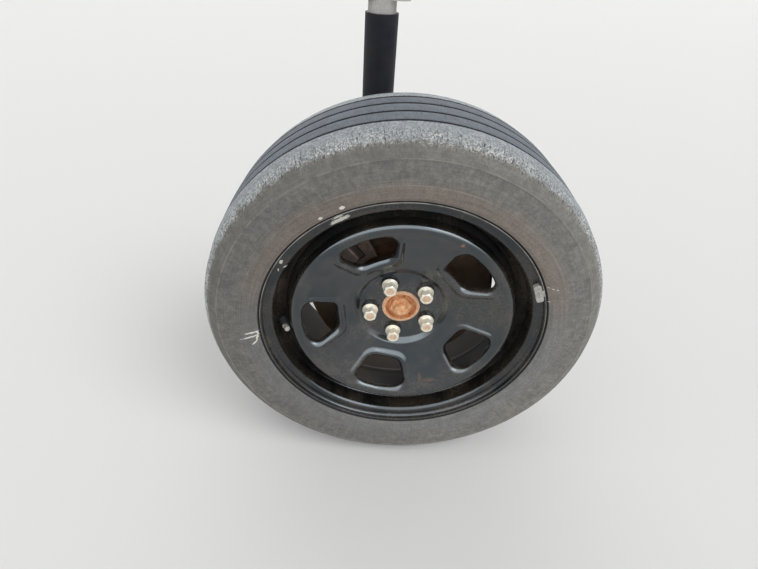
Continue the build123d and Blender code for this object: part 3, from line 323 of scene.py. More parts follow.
class TyreShader(Shader):
    """The rubber's shader, with the places and noises that its zones share."""

    def __init__(self):
        super().__init__("tyre_rubber", specular=0.3)
        self.radius, self.across, self.up = self.polar()
        self.outboard = self.times(self.y, -1.0)
        self.off_middle = self.math("ABSOLUTE", self.y)
        self.path = self.minus(self.radius, self.off_middle)
        self.speckle = self.noise(340.0, 3.0, 0.75)
        self.patches = self.noise(19.0, 5.0, 0.68)
        self.worn = self.noise(62.0, 4.0, 0.68)
        self.streaks = self.trail(110.0, 130.0, 4.0, 0.7)
        self.edge = self.plus(self.radius, self.times(self.minus(self.worn, 0.5), 0.012))

    def trail(self, turns, outward, detail, rough):
        """Noise drawn out round the tyre, or across it along its skin."""
        return self.noise(1.0, detail, rough, self.around(turns, outward, self.path, self.across, self.up))

    def tread(self):
        # The ribs' grey holds painted shade.
        rib = self.scaled(TREAD_GREY_AND_SHADE, self.step(self.speckle, 0.36, 0.66, 0.70, 1.42))
        rib = self.scaled(rib, self.step(self.worn, 0.34, 0.66, 0.84, 1.16))
        rib = self.scaled(rib, self.step(self.outboard, -0.06, 0.06, 0.90, 1.08))
        shoulder = self.scaled(SHOULDER_GREY, self.step(self.streaks, 0.34, 0.68, 0.78, 1.22))
        shoulder = self.scaled(shoulder, self.step(self.speckle, 0.36, 0.66, 0.68, 1.36))
        shoulder = self.scaled(shoulder, self.step(self.worn, 0.34, 0.66, 0.84, 1.14))
        return self.mix(rib, shoulder, self.step(self.off_middle, *SHOULDER_ZONE))

    def wall(self):
        strands = self.trail(34.0, 60.0, 4.0, 0.7)
        hairs = self.trail(150.0, 22.0, 3.0, 0.6)
        threads = self.trail(5.0, 420.0, 3.0, 0.7)
        high = self.mix(SIDEWALL_GREY, SIDEWALL_TAN, self.step(self.patches, 0.30, 0.74))
        high = self.scaled(high, self.step(self.worn, 0.34, 0.66, 0.93, 1.07))
        high = self.scaled(high, self.step(strands, 0.30, 0.70, 0.83, 1.17))
        low = self.mix(SIDEWALL_BROWN, BEAD_GREY, self.step(self.z, 0.14, -0.02))
        low = self.scaled(low, self.step(hairs, 0.35, 0.65, 0.93, 1.07))
        low = self.scaled(low, self.step(self.worn, 0.34, 0.66, 0.93, 1.07))
        reach = self.plus(self.radius, self.times(self.minus(self.patches, 0.5), 0.05))
        wall = self.mix(low, high, self.step(reach, *BEAD_ZONE))
        band = self.scaled(BAND_DARK, self.step(self.worn, 0.34, 0.66, 0.86, 1.14))
        wall = self.mix(wall, band, self.step(self.radius, *BAND_ZONE))
        wall = self.scaled(wall, self.step(threads, 0.32, 0.68, 0.90, 1.10))
        wall = self.scaled(wall, self.step(self.speckle, 0.34, 0.68, 0.86, 1.16))
        # Painted light: the wall is lighter toward +x and darker toward -x, as if lit more from that side.
        wall = self.scaled(wall, self.step(self.x, -0.30, 0.30, 0.88, 1.18))
        for ring, half, soft, pale, *wear in WALL_RINGS:
            line = self.band(self.radius, ring, half, soft)
            wall = self.mix(wall, pale, self.times(line, self.step(self.worn, *wear)))
        return wall

    def scuffed(self, colour):
        """Pale scuffs and dark nicks, where the shoulder meets the wall."""
        zone = self.times(self.step(self.off_middle, *SCUFF_SIDE), self.step(self.edge, *SCUFF_ZONE))
        fleck = self.step(self.noise(310.0, 3.0, 0.75), 0.50, 0.60)
        patchy = self.step(self.noise(24.0, 3.0), 0.32, 0.60, 0.35, 1.0)
        inboard_fade = self.step(self.outboard, -0.09, 0.0, 0.35, 1.0)
        scuffs = self.times(self.times(zone, fleck), patchy)
        colour = self.mix(colour, SCUFF_PALE, self.times(scuffs, inboard_fade))
        zone = self.times(self.step(self.off_middle, *NICK_SIDE), self.step(self.edge, *NICK_ZONE))
        nick = self.step(self.trail(170.0, 100.0, 2.0, 0.6), 0.57, 0.63)
        return self.mix(colour, CRACK_DARK, self.times(zone, self.times(nick, 0.75)))


def tyre_rubber():
    s = TyreShader()
    on_side = s.step(s.off_middle, *SIDE_ZONE)
    colour = s.mix(s.tread(), s.wall(), s.times(s.step(s.edge, *WALL_ZONE), on_side))
    # Painted shade: a dark ring on the rubber where it meets the rim's flange.
    colour = s.mix(colour, RIM_GAP_SHADE, s.times(s.step(s.radius, *RIM_GAP), on_side))
    colour = s.scuffed(colour)
    outer_side = s.step(s.outboard, *OUTER_SIDE)
    colour = s.mix(colour, CHALK, s.times(marks(s, CHALK_STROKES, 0.6), outer_side))
    colour = s.mix(colour, CHALK, s.times(marks(s, PALE_FLECKS, 0.5), outer_side))
    # Painted shade: the grooves, below the crown, are painted near black.
    crown = s.minus(TYRE_RADIUS - GROOVE_EDGE, s.times(s.off_middle, CROWN_SLOPE))
    sunk = s.step(s.minus(crown, s.radius), 0.0, GROOVE_SHADE)
    colour = s.mix(colour, GROOVE_SHADE_DARK, s.times(sunk, s.step(s.off_middle, *GROOVE_ZONE)))
    s.bump(s.noise(900.0, 4.0), 0.0005, 0.4)
    s.bump(s.streaks, 0.0006, 0.3)
    s.bump(s.trail(2.4, 75.0, 2.0, 0.5), 0.0006, 0.12)
    return s.done(colour, s.step(s.speckle, 0.3, 0.7, 0.72, 0.9))


# Pressed wheel disc in millimetres, with FACE_LINE as its outer face from the bore to the end of the
# skirt: radius, y, rounding
SHEET = 4.0
BORE_RADIUS = 35.4
PAD_Y = -48.0
PAD_RADIUS = 77.2
CONE_FOOT_RADIUS = 86.4
CONE_FOOT_Y = -57.2
CONE_SLOPE = -0.3956
CREST_RADIUS = 201.5
CREST_Y = -102.7
SKIRT_TOP_Y = -72.5
SKIRT_RADIUS = 209.77
SKIRT_FOOT_Y = -58.6
SKIRT_END_Y = -26.0
FACE_LINE = (
    (BORE_RADIUS, PAD_Y, 0.0),
    (PAD_RADIUS, PAD_Y, 6.0),
    (CONE_FOOT_RADIUS, CONE_FOOT_Y, 10.0),
    (CREST_RADIUS, CREST_Y, 11.0),
    (CREST_RADIUS, SKIRT_TOP_Y, 6.0),
    (SKIRT_RADIUS, SKIRT_FOOT_Y, 8.0),
    (SKIRT_RADIUS, SKIRT_END_Y, 0.0),
)

# The same cone and the slope between crest and skirt in metres, as y at the axis
CONE_START = (CONE_FOOT_Y - CONE_SLOPE * CONE_FOOT_RADIUS) * MM
SKIRT_SLOPE = (SKIRT_FOOT_Y - SKIRT_TOP_Y) / (SKIRT_RADIUS - CREST_RADIUS)
SKIRT_START = (SKIRT_TOP_Y - SKIRT_SLOPE * CREST_RADIUS) * MM

# Wheel paint colours
# Painted reflection: the gloss is tinted blue, as if it reflected a blue sky.
SKY_BLUE_SHEEN = (0.72, 0.88, 1.0)
PAINT_BLACK = (0.008, 0.008, 0.008)
PAINT_DUST = (0.120, 0.092, 0.066)
PAINT_RUST = (0.22, 0.10, 0.05)
# Brake dust inside the wheel, darkened as painted shade
GRIME_AND_SHADE_DARK = (0.016, 0.012, 0.010)
GRIME_AND_SHADE_BROWN = (0.045, 0.030, 0.020)
CHIP_PALE = (0.62, 0.60, 0.54)
# Worn lip edge and painted highlight
LIP_WEAR_AND_HIGHLIGHT = (0.40, 0.39, 0.37)
COAT_SHARE = 0.4
COAT_ROUGHNESS = 0.08
INSIDE_FADE = 0.014

# Where the paint's zones fade in, by radius or by y, or by height behind the cone or the skirt's slope
LIP_LINE = (0.2470, 0.2474)
LIP_FRONT = (-0.1120, -0.1135)
CHIP_FRONT = (-0.098, -0.102)
CONE_ZONE = (0.1995, 0.1990)
BEHIND_CONE = (0.0090, 0.0110)
SKIRT_ZONE = (0.1985, 0.1990)
BEHIND_SKIRT = (0.0030, 0.0040)

# Wheel paint marks: x, z, half length, half width, turn
LIP_SCRAPES = (
    (-0.1141, 0.2163, 0.0100, 0.0034, 31.0),
    (-0.1109, 0.2085, 0.0195, 0.0036, 30.0),
)
LIP_CHIPS = (
    (-0.2050, 0.1262, 0.0050, 0.0028, 60.0),
    (-0.1990, 0.1160, 0.0034, 0.0018, 20.0),
    (-0.2105, 0.1101, 0.0030, 0.0016, 90.0),
    (0.2140, -0.0219, 0.0045, 0.0014, 75.0),
)
RUST_SPOTS = (
    (0.0828, 0.1682, 0.0045, 0.0040, 0.0),
)
RUST_STAINS = (
    (0.0671, -0.1524, 0.0170, 0.0040, 15.0),
    (0.0482, -0.1500, 0.0040, 0.0120, 10.0),
)


def behind_disc(s, radius):
    """Mask of the disc's hidden side, behind its cone and behind the slope to its skirt."""
    cone = s.minus(s.minus(s.y, s.times(radius, CONE_SLOPE)), CONE_START)
    cone = s.times(s.step(cone, *BEHIND_CONE), s.step(radius, *CONE_ZONE))
    skirt = s.minus(s.minus(s.y, s.times(radius, SKIRT_SLOPE)), SKIRT_START)
    skirt = s.times(s.step(skirt, *BEHIND_SKIRT), s.step(radius, *SKIRT_ZONE))
    return s.larger(cone, skirt)


def wheel_paint(name, inside_y, shine, edge=0.0, hidden=False):
    """Gloss black under road dust, and matt inboard of inside_y with brake dust darkened as painted shade.

    With hidden, the paint is matt and darkened the same way behind the disc too.
    """
    s = Shader(name, specular=shine)
    # The gloss's blue tint is a painted reflection of a blue sky.
    s.surface.inputs["Specular Tint"].default_value = (*SKY_BLUE_SHEEN, 1.0)
    s.surface.inputs["Coat Roughness"].default_value = COAT_ROUGHNESS
    if edge:
        s.soft_edges(edge)
    radius, across, up = s.polar()
    soft = s.noise(9.0, 4.0, 0.6)
    fine = s.noise(160.0, 4.0, 0.65)
    smear = s.noise(1.0, 4.0, 0.6, s.around(3.0, 42.0, radius, across, up))
    dust = s.times(s.step(soft, 0.36, 0.64), s.step(fine, 0.25, 0.75, 0.45, 1.0))
    dust = s.plus(s.times(dust, 0.36), s.times(s.step(smear, 0.45, 0.70), 0.20))
    colour = s.mix(PAINT_BLACK, PAINT_DUST, dust)
    rust = s.larger(marks(s, RUST_SPOTS, 0.6), s.times(marks(s, RUST_STAINS, 0.9), 0.45))
    colour = s.mix(colour, PAINT_RUST, s.times(rust, 0.8))
    inside = s.step(s.y, inside_y, inside_y + INSIDE_FADE)
    if hidden:
        inside = s.larger(inside, behind_disc(s, radius))
    # Brake dust darkened as painted shade, inboard, and behind the disc where hidden.
    grime_and_shade = s.mix(GRIME_AND_SHADE_DARK, GRIME_AND_SHADE_BROWN, s.step(soft, 0.3, 0.7))
    colour = s.mix(colour, grime_and_shade, inside)
    worn = s.times(marks(s, LIP_SCRAPES + LIP_CHIPS, 0.5), s.step(s.y, *CHIP_FRONT))
    colour = s.mix(colour, CHIP_PALE, worn)
    # The lip's outer edge is painted pale: partly worn metal, partly a painted highlight that grows
    # stronger toward the top.
    lip = s.times(s.step(radius, *LIP_LINE), s.step(s.y, *LIP_FRONT))
    lip = s.times(lip, s.step(s.noise(34.0, 3.0), 0.30, 0.62, 0.35, 1.0))
    lip = s.times(lip, s.step(s.z, -0.06, 0.12, 0.30, 1.0))
    colour = s.mix(colour, LIP_WEAR_AND_HIGHLIGHT, lip)
    s.bump(s.noise(38.0, 3.0, 0.5), 0.0012, 0.14)
    s.bump(fine, 0.0002, 0.15)
    rough = s.larger(s.plus(s.times(dust, 0.55), 0.12), s.times(inside, 0.85))
    s.put(s.surface.inputs["Coat Weight"], s.times(s.minus(1.0, inside), shine * COAT_SHARE))
    return s.done(colour, s.larger(rough, s.times(worn, 0.7)))


RUST_BROWN = (0.23, 0.095, 0.04)
ROAD_DUST = (0.22, 0.195, 0.16)
OLD_RUST = 0.45


def weathered(
    name, base, worn, rust=0.0, roughness=0.5, metallic=0.0, specular=0.5, grain=700.0, grit=0.0004,
    patch=26.0, dust=0.15,
):
    """Metal, plastic or rubber with patches of wear, rust and road dust, each over the last."""
    s = Shader(name, specular=specular)
    fine = s.noise(grain, 4.0, 0.6)
    patches = s.noise(patch, 5.0, 0.62)
    other = s.noise(patch * 2.7, 4.0, 0.6, s.shifted((3.1, 1.7, 5.3)))
    film = s.noise(patch * 0.5, 5.0, 0.65, s.shifted((7.7, 2.9, 0.6)))
    colour = s.mix(base, worn, s.step(patches, 0.38, 0.66))
    colour = s.scaled(colour, s.step(fine, 0.25, 0.75, 0.82, 1.18))
    shine = metallic
    if rust:
        spread = s.plus(s.times(patches, 0.45), s.times(other, 0.55))
        rusted = s.step(spread, 0.66 - 0.42 * rust, 0.76 - 0.38 * rust)
        tone = s.mix(RUST_BROWN, tuple(c * OLD_RUST for c in RUST_BROWN), s.step(other, 0.4, 0.7))
        colour = s.mix(colour, tone, rusted)
        shine = s.times(s.minus(1.0, rusted), metallic)
    colour = s.mix(colour, ROAD_DUST, s.times(s.step(film, 0.35, 0.7), dust))
    s.bump(fine, grit, 0.6)
    s.bump(patches, grit * 4.0, 0.4)
    rough = s.step(patches, 0.3, 0.7, roughness - 0.08, min(roughness + 0.14, 1.0))
    return s.done(colour, rough, shine if metallic else None)


# Hub and brake disc: middle of the pilot ring's rim by radius, and edges of the pads' track
RING_RIM = 0.0335
TRACK_START = (0.113, 0.118)
TRACK_END = (0.171, 0.168)


def nut_plating():
    """Pale worn plating, with small brown spots."""
    s = Shader("nut_plating", metallic=0.15)
    patches = s.noise(120.0, 4.0, 0.6)
    colour = s.mix((0.92, 0.88, 0.74), (0.66, 0.60, 0.47), s.step(patches, 0.48, 0.74))
    spots = s.times(s.step(s.noise(210.0, 3.0), 0.60, 0.70), 0.55)
    colour = s.mix(colour, (0.33, 0.20, 0.10), spots)
    s.bump(s.noise(900.0, 3.0), 0.0002, 0.4)
    return s.done(colour, s.step(patches, 0.3, 0.7, 0.25, 0.5))


def hub_rust():
    """Bright fresh rust in the hub's centre, paler on the ring's worn rim."""
    s = Shader("hub_rust", roughness=0.8, specular=0.3)
    radius, _, _ = s.polar()
    fine = s.noise(700.0, 4.0, 0.7)
    patches = s.noise(95.0, 5.0, 0.7)
    other = s.noise(150.0, 4.0, 0.65, s.shifted((1.3, 4.1, 2.2)))
    colour = s.mix((0.78, 0.37, 0.17), (0.86, 0.54, 0.31), s.step(patches, 0.4, 0.62))
    colour = s.mix(colour, (0.34, 0.16, 0.08), s.step(other, 0.58, 0.70))
    colour = s.mix(colour, (0.20, 0.18, 0.17), s.times(s.step(patches, 0.63, 0.71), 0.7))
    pale = s.scaled((0.72, 0.47, 0.33), s.step(fine, 0.3, 0.7, 0.8, 1.15))
    colour = s.mix(colour, pale, s.times(s.band(radius, RING_RIM, 0.0022, 0.0012), 0.85))
    colour = s.scaled(colour, s.step(fine, 0.25, 0.75, 0.75, 1.22))
    s.bump(fine, 0.0007, 0.7)
    s.bump(patches, 0.0016, 0.5)
    return s.done(colour)


def brake_iron():
    """Cast disc: rusty hat and edges, faces worn in rings where the pads run, all darkened by painted
    shade.
    """
    s = Shader("disc_iron", specular=0.3)
    radius, across, up = s.polar()
    fine = s.noise(600.0, 4.0, 0.65)
    patches = s.noise(30.0, 5.0, 0.65)
    rings = s.noise(1.0, 3.0, 0.6, s.around(0.8, 900.0, radius, across, up))
    # Painted shade: the rust and the faces are darker than the iron's own colours, for the shade inside
    # the wheel.
    rust = s.mix((0.22, 0.115, 0.065), (0.11, 0.058, 0.036), s.step(patches, 0.4, 0.65))
    rust = s.scaled(rust, s.step(fine, 0.3, 0.7, 0.7, 1.25))
    swept = s.times(s.step(radius, *TRACK_START), s.step(radius, *TRACK_END))
    face = s.mix((0.15, 0.135, 0.12), (0.19, 0.12, 0.075), s.step(rings, 0.35, 0.65))
    face = s.mix(face, rust, s.step(patches, 0.5, 0.72, 0.15, 0.75))
    s.bump(fine, 0.0005, 0.6)
    s.bump(rings, 0.0004, 0.35)
    return s.done(s.mix(rust, face, swept), s.step(swept, 0.0, 1.0, 0.85, 0.42), s.times(swept, 0.5))


VALVE_NECK_Y = -0.0880
VALVE_NECK_FADE = 0.0004


def valve_rubber():
    """Black rubber stem with a dull bright neck and cap."""
    s = Shader("valve_rubber")
    fine = s.noise(800.0, 3.0)
    rubber = s.scaled((0.030, 0.031, 0.034), s.step(fine, 0.3, 0.7, 0.8, 1.3))
    cap = s.scaled((0.42, 0.42, 0.40), s.step(s.noise(260.0, 3.0), 0.3, 0.7, 0.7, 1.15))
    bright = s.step(s.y, VALVE_NECK_Y + VALVE_NECK_FADE, VALVE_NECK_Y - VALVE_NECK_FADE)
    s.bump(fine, 0.0003, 0.5)
    return s.done(s.mix(rubber, cap, bright), s.step(bright, 0.0, 1.0, 0.65, 0.4))


def materials():
    """Each node's material."""
    rubber = weathered(
        "soft_rubber", (0.028, 0.028, 0.028), (0.05, 0.048, 0.045),
        roughness=0.7, dust=0.35,
    )
    steel = weathered(
        "bare_steel", (0.33, 0.32, 0.30), (0.24, 0.22, 0.20),
        rust=0.35, roughness=0.42, metallic=0.8, patch=60.0,
    )
    plated = weathered(
        "plated_bolts", (0.36, 0.34, 0.29), (0.26, 0.23, 0.18),
        rust=0.45, roughness=0.42, metallic=0.7, patch=90.0,
    )
    iron = weathered(
        "knuckle_iron", (0.085, 0.08, 0.075), (0.13, 0.115, 0.10),
        rust=0.42, roughness=0.7, metallic=0.2, grain=420.0, grit=0.0009, dust=0.4,
    )
    caliper = weathered(
        "caliper_iron", (0.30, 0.24, 0.22), (0.20, 0.15, 0.13),
        rust=0.30, roughness=0.6, metallic=0.25, grain=500.0, grit=0.0007, dust=0.3,
    )
    bar = weathered(
        "shaft_paint", (0.028, 0.028, 0.030), (0.055, 0.050, 0.046),
        rust=0.28, dust=0.4,
    )
    shaft = weathered(
        "shaft_steel", (0.24, 0.22, 0.20), (0.16, 0.13, 0.11),
        rust=0.55, roughness=0.55, metallic=0.5,
    )
    zinc = weathered(
        "zinc_sheet", (0.26, 0.25, 0.23), (0.18, 0.165, 0.15),
        rust=0.40, metallic=0.6, dust=0.45,
    )
    paint = weathered(
        "damper_paint", (0.010, 0.011, 0.016), (0.022, 0.023, 0.028),
        rust=0.12, roughness=0.45, specular=0.25, dust=0.12,
    )
    plastic = weathered(
        "cover_plastic", (0.006, 0.007, 0.012), (0.012, 0.013, 0.019),
        specular=0.15, dust=0.04,
    )
    alloy = weathered(
        "cast_alloy", (0.40, 0.40, 0.39), (0.30, 0.29, 0.28),
        metallic=0.7, grain=500.0, grit=0.0006, dust=0.3,
    )
    lining = weathered(
        "pad_lining", (0.07, 0.062, 0.055), (0.12, 0.10, 0.085),
        roughness=0.9, patch=80.0,
    )
    weight = weathered(
        "weight_zinc", (0.50, 0.49, 0.45), (0.34, 0.33, 0.31),
        roughness=0.55, metallic=0.3, patch=130.0,
    )
    stud = weathered(
        "stud_rust", (0.80, 0.60, 0.46), (0.62, 0.40, 0.27),
        rust=0.10, roughness=0.7, patch=160.0, dust=0.0,
    )
    rust = hub_rust()
    return {
        "rim": wheel_paint("rim_paint", -0.068, 0.5, edge=0.0012),
        "wheel_disc": wheel_paint("disc_paint", -0.050, 0.8, hidden=True),
        "lug_nuts": nut_plating(),
        "wheel_studs": stud,
        "hub": rust,
        "brake_disc": brake_iron(),
        "stub_axle": rust,
        "axle_nut": rust,
        "joint_race": steel,
        "joint_cage": steel,
        "drive_shaft": bar,
        "joint_boot": rubber,
        "boot_bands": plated,
        "valve_stem": valve_rubber(),
        "balance_weight": weight,
        "bearing_housing": shaft,
        "bearing_bolts": plated,
        "splash_plate": zinc,
        "knuckle": iron,
        "link_bushings": rubber,
        "link_sleeves": plated,
        "caliper_bracket": caliper,
        "bracket_bolts": plated,
        "brake_pads": lining,
        "caliper": caliper,
        "guide_pins": plated,
        "pin_boots": rubber,
        "damper_tube": paint,
        "damper_bush": rubber,
        "damper_bolt": plated,
        "damper_cover": plastic,
        "damper_rod": steel,
        "damper_mount": alloy,
    }


def dress(finishes):
    for name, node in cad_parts.items():
        if name in finishes:
            node.data.materials.clear()
            node.data.materials.append(finishes[name])


SMALL_ROUNDING = 1.0


def rounded(corners, turn_step=15.0):
    """Points of a closed line with its corners rounded, from (radius, y, rounding) corners."""
    points = []
    count = len(corners)
    for k, (r, y, rounding) in enumerate(corners):
        here = Vector((r, y))
        if not rounding:
            points.append(here)
            continue
        before = (Vector(corners[k - 1][:2]) - here).normalized()
        after = (Vector(corners[(k + 1) % count][:2]) - here).normalized()
        half = before.angle(after) / 2.0
        reach = rounding / tan(half)
        centre = here + (before + after).normalized() * (rounding / sin(half))
        start = here + before * reach - centre
        end = here + after * reach - centre
        turn = abs(180.0 - 2.0 * half * 180.0 / pi)
        steps = 2 if rounding <= SMALL_ROUNDING else max(2, ceil(turn / turn_step))
        swing = atan2(start.x * end.y - start.y * end.x, start.dot(end))
        for j in range(steps + 1):
            c = cos(swing * j / steps)
            d = sin(swing * j / steps)
            points.append(centre + Vector((c * start.x - d * start.y, d * start.x + c * start.y)))
    return points


def fill_in(points, longest, tread_longest, tread_start):
    """The same closed line with its long runs divided, more closely on the tread."""
    out = []
    for here, there in zip(points, points[1:] + points[:1]):
        limit = tread_longest if min(here.x, there.x) > tread_start else longest
        steps = max(1, ceil((there - here).length / limit))
        out += [here.lerp(there, j / steps) for j in range(steps)]
    return out


def mesh_object(name, points, faces, material, sharp=32.0):
    mesh = bpy.data.meshes.new(name)
    mesh.from_pydata(points, [], faces)
    mesh.validate()
    mesh.materials.append(material)
    mesh.shade_smooth()
    mesh.set_sharp_from_angle(angle=radians(sharp))
    piece = bpy.data.objects.new(name, mesh)
    bpy.context.scene.collection.objects.link(piece)
    return piece


# Tyre in millimetres, where it meets the rim, and the longest runs of its outline
BEAD_RADIUS = 231.0
RIM_EDGE = 249.1
FLANGE_Y = 101.6
WALL_RUN = 16.0
TREAD_RUN = 7.0
TREAD_DEPTH = 11.0


def tyre_half(wide, top):
    """Half of the tyre's outline, from the inner bead out to the tread: radius, y and rounding."""
    return [
        (BEAD_RADIUS, FLANGE_Y - 17.0, 0.0),
        (BEAD_RADIUS, FLANGE_Y, 6.0),
        (RIM_EDGE, FLANGE_Y, 9.0),
        (RIM_EDGE, wide - 11.0, 0.0),
        (RIM_EDGE + 6.0, wide - 7.0, 4.0),
        (259.0, wide - 4.6, 1.0),
        (259.6, wide - 4.9, 0.5),
        (262.4, wide - 3.9, 0.8),
        (278.4, wide - 0.9, 2.0),
        (279.6, wide - 1.5, 0.6),
        (299.0, wide - 0.05, 16.0),
        (316.8, wide - 0.9, 3.0),
        (317.6, wide - 0.2, 0.5),
        (319.0, wide - 0.4, 0.5),
        (319.6, wide - 1.4, 1.0),
        (top - 20.0, wide - 7.0, 12.0),
        (top - 6.0, wide - 27.0, 14.0),
        (top - 1.5, wide - 62.0, 0.0),
    ]


def tread_line(top):
    """Tread from the outer shoulder to the inner one, with its grooves cut in."""
    width = GROOVE_WIDTH / MM / 2.0
    depth = GROOVE_DEPTH / MM
    points = []
    for k, groove in enumerate(GROOVES):
        y = groove / MM
        crown = top - CROWN_SLOPE * abs(y)
        points.append((crown, y - width, 0.5))
        points.append((crown - depth, y - width + 0.8, 0.7))
        points.append((crown - depth, y + width - 0.8, 0.7))
        points.append((crown, y + width, 0.5))
        if k + 1 == len(GROOVES) // 2:
            points.append((top, 0.0, 0.0))
    return points


# Pitches round the tyre with their range of lengths, and the slits in each, cut beyond a radius only
PITCHES = 66
PITCH_RANGE = (0.86, 1.14)
SLIT_WIDTH = 1.0
SLIT_START = 325.0
# Slits by place in the pitch: share of it, from y, to y, depth
SLITS = (
    (0.30, 24.0, 36.0, 0.9),
    (0.78, 88.0, 110.0, 1.2),
)


def tyre_columns():
    """Angles round the tyre, each with the slit whose bottom its column is, if any."""
    draw = np.random.default_rng(7)
    lengths = draw.uniform(*PITCH_RANGE, PITCHES)
    starts = np.concatenate(([0.0], np.cumsum(lengths))) * 2.0 * pi / lengths.sum()
    wide = SLIT_WIDTH / 2.0 * MM / TYRE_RADIUS
    columns = []
    for start, end in zip(starts[:-1], starts[1:]):
        for k, (share, *_) in enumerate(SLITS):
            middle = start + share * (end - start)
            columns += [(middle - wide, None), (middle, k), (middle + wide, None)]
    return sorted(columns, key=lambda column: column[0])


def slit_depths(line):
    """How deep each slit is at each point of the tyre's outline."""
    depth = np.zeros((len(line), len(SLITS)))
    for j, point in enumerate(line):
        for k, (_, low, high, deep) in enumerate(SLITS):
            if point.x >= SLIT_START and low <= abs(point.y) <= high:
                depth[j, k] = deep
    return depth


def tyre_skin():
    wide = TYRE_HALF_WIDTH / MM
    top = TYRE_RADIUS / MM
    half = tyre_half(wide, top)
    liner = [(251.0, FLANGE_Y - 9.0, 0.0), (299.0, wide - 9.0, 0.0), (top - 15.0, wide - 34.0, 0.0)]
    corners = [(r, -y, f) for r, y, f in half] + tread_line(top) + half[::-1]
    corners += liner + [(r, -y, f) for r, y, f in reversed(liner)]
    line = fill_in(rounded(corners), WALL_RUN, TREAD_RUN, top - TREAD_DEPTH)
    columns = tyre_columns()
    depth = slit_depths(line)
    radius = np.array([p.x for p in line])
    y = np.array([p.y for p in line])
    points = []
    for angle, slit in columns:
        r = radius - (depth[:, slit] if slit is not None else 0.0)
        points.append(np.stack([r * cos(angle), y, r * sin(angle)], axis=1))
    points = np.concatenate(points) * MM + np.array(WHEEL)
    rows = len(line)
    faces = []
    for c in range(len(columns)):
        a = c * rows
        b = (c + 1) % len(columns) * rows
        for j in range(rows):
            k = (j + 1) % rows
            faces.append((a + j, b + j, b + k, a + k))
    skin = mesh_object("tyre_skin", points.tolist(), faces, tyre_rubber())
    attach(skin, "wheel")
    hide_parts("tyre")


# How the disc's face is divided: radii of its line's two runs outside the webs, steps round its corners
# in degrees, points round it, and pitch of its webs
DISH_RUN = (60.0, 100.0)
CREST_RUN = 150.0
FACE_TURN_STEP = 9.0
DISC_TURNS = 180
DISC_SHARP = 40.0
PAD_PITCH = 5.0
CONE_PITCH = 7.0
HOLE_MARGIN = 1.06

# Nut seats: angles from forward, radius of their circle, and rings as radius and height
STUD_ANGLES = tuple(42.7 + 72.0 * k for k in range(5))
STUD_CIRCLE = 57.15
SEAT_RINGS = ((17.0, 0.0), (14.0, 7.0), (8.1, 7.0), (8.1, 0.0))
SEAT_POINTS = 40

# Windows at their deepest edge, from their middle along the cone, and their growth with a lip's rise
WINDOW_MIDDLE = 148.0
WINDOW_INWARD = 33.0
WINDOW_OUTWARD = 31.0
WINDOW_NARROW = 29.0
WINDOW_WIDE = 54.0
WINDOW_ARC = 13.0
WINDOW_BOW = 0.25
BOW_ROUNDING = 60.0
WINDOW_CORNER = 19.0
WINDOW_TURN_STEP = 6.0
WINDOW_POINTS = 120
NARROW_GROWTH = 0.6
CORNER_GROWTH = 0.35
LIP_DROP = 7.5

# Bead round a window, from the face over its ridge to the edge: distance out from the edge, and height
LIP_WIDTH = 20.0
LIP_RINGS = (
    (20.0, 0.0), (18.2, 0.25), (16.4, 1.0), (14.6, 2.1), (12.8, 3.1), (11.2, 3.6), (9.6, 3.65), (7.8, 3.2),
    (5.8, 2.1), (4.2, 0.9), (2.8, -0.6), (1.6, -2.2), (0.7, -4.0), (0.2, -5.8), (0.0, -7.5),
)
# On the crest's side the lip is a plain roll, this wide, with its rings closer together at the edge
CREST_GROWTH = 8.3
GROWTH_POWER = 2.2
# The bead dies out toward the crest, from this far along the cone to that far
LIP_FADE = (6.0, 30.0)


def cone_y(radius):
    return CONE_FOOT_Y + CONE_SLOPE * (radius - CONE_FOOT_RADIUS)


def ring_points(radius, count):
    angles = np.arange(count) * 2.0 * pi / count
    return np.stack([radius * np.cos(angles), radius * np.sin(angles)], axis=1)


def crest_share(rise):
    """What is left, at a ring of the lip, of the way to the edge on the crest's side."""
    return (1.0 - rise / LIP_WIDTH) ** GROWTH_POWER


def window_line(rise):
    """Outline of a window in the cone's tangent plane, wider by the rise of its lip, evenly divided."""
    inner = -WINDOW_INWARD - rise
    outer = WINDOW_OUTWARD + CREST_GROWTH * (1.0 - crest_share(rise))
    narrow = WINDOW_NARROW + rise * NARROW_GROWTH
    wide = WINDOW_WIDE + rise
    corner = WINDOW_CORNER + rise * CORNER_GROWTH
    back = outer - WINDOW_ARC
    bow = outer - WINDOW_ARC * WINDOW_BOW
    line = rounded([
        (inner, 0.0, 0.0), (inner, narrow, corner), (back, wide, corner),
        (bow, wide / 2.0, BOW_ROUNDING), (outer, 0.0, BOW_ROUNDING), (bow, -wide / 2.0, BOW_ROUNDING),
        (back, -wide, corner), (inner, -narrow, corner),
    ], WINDOW_TURN_STEP)
    points = np.array([tuple(point) for point in line + line[:1]])
    run = np.concatenate(([0.0], np.cumsum(np.linalg.norm(np.diff(points, axis=0), axis=1))))
    places = np.linspace(0.0, run[-1], WINDOW_POINTS, endpoint=False)
    return np.stack([np.interp(places, run, points[:, k]) for k in (0, 1)], axis=1)


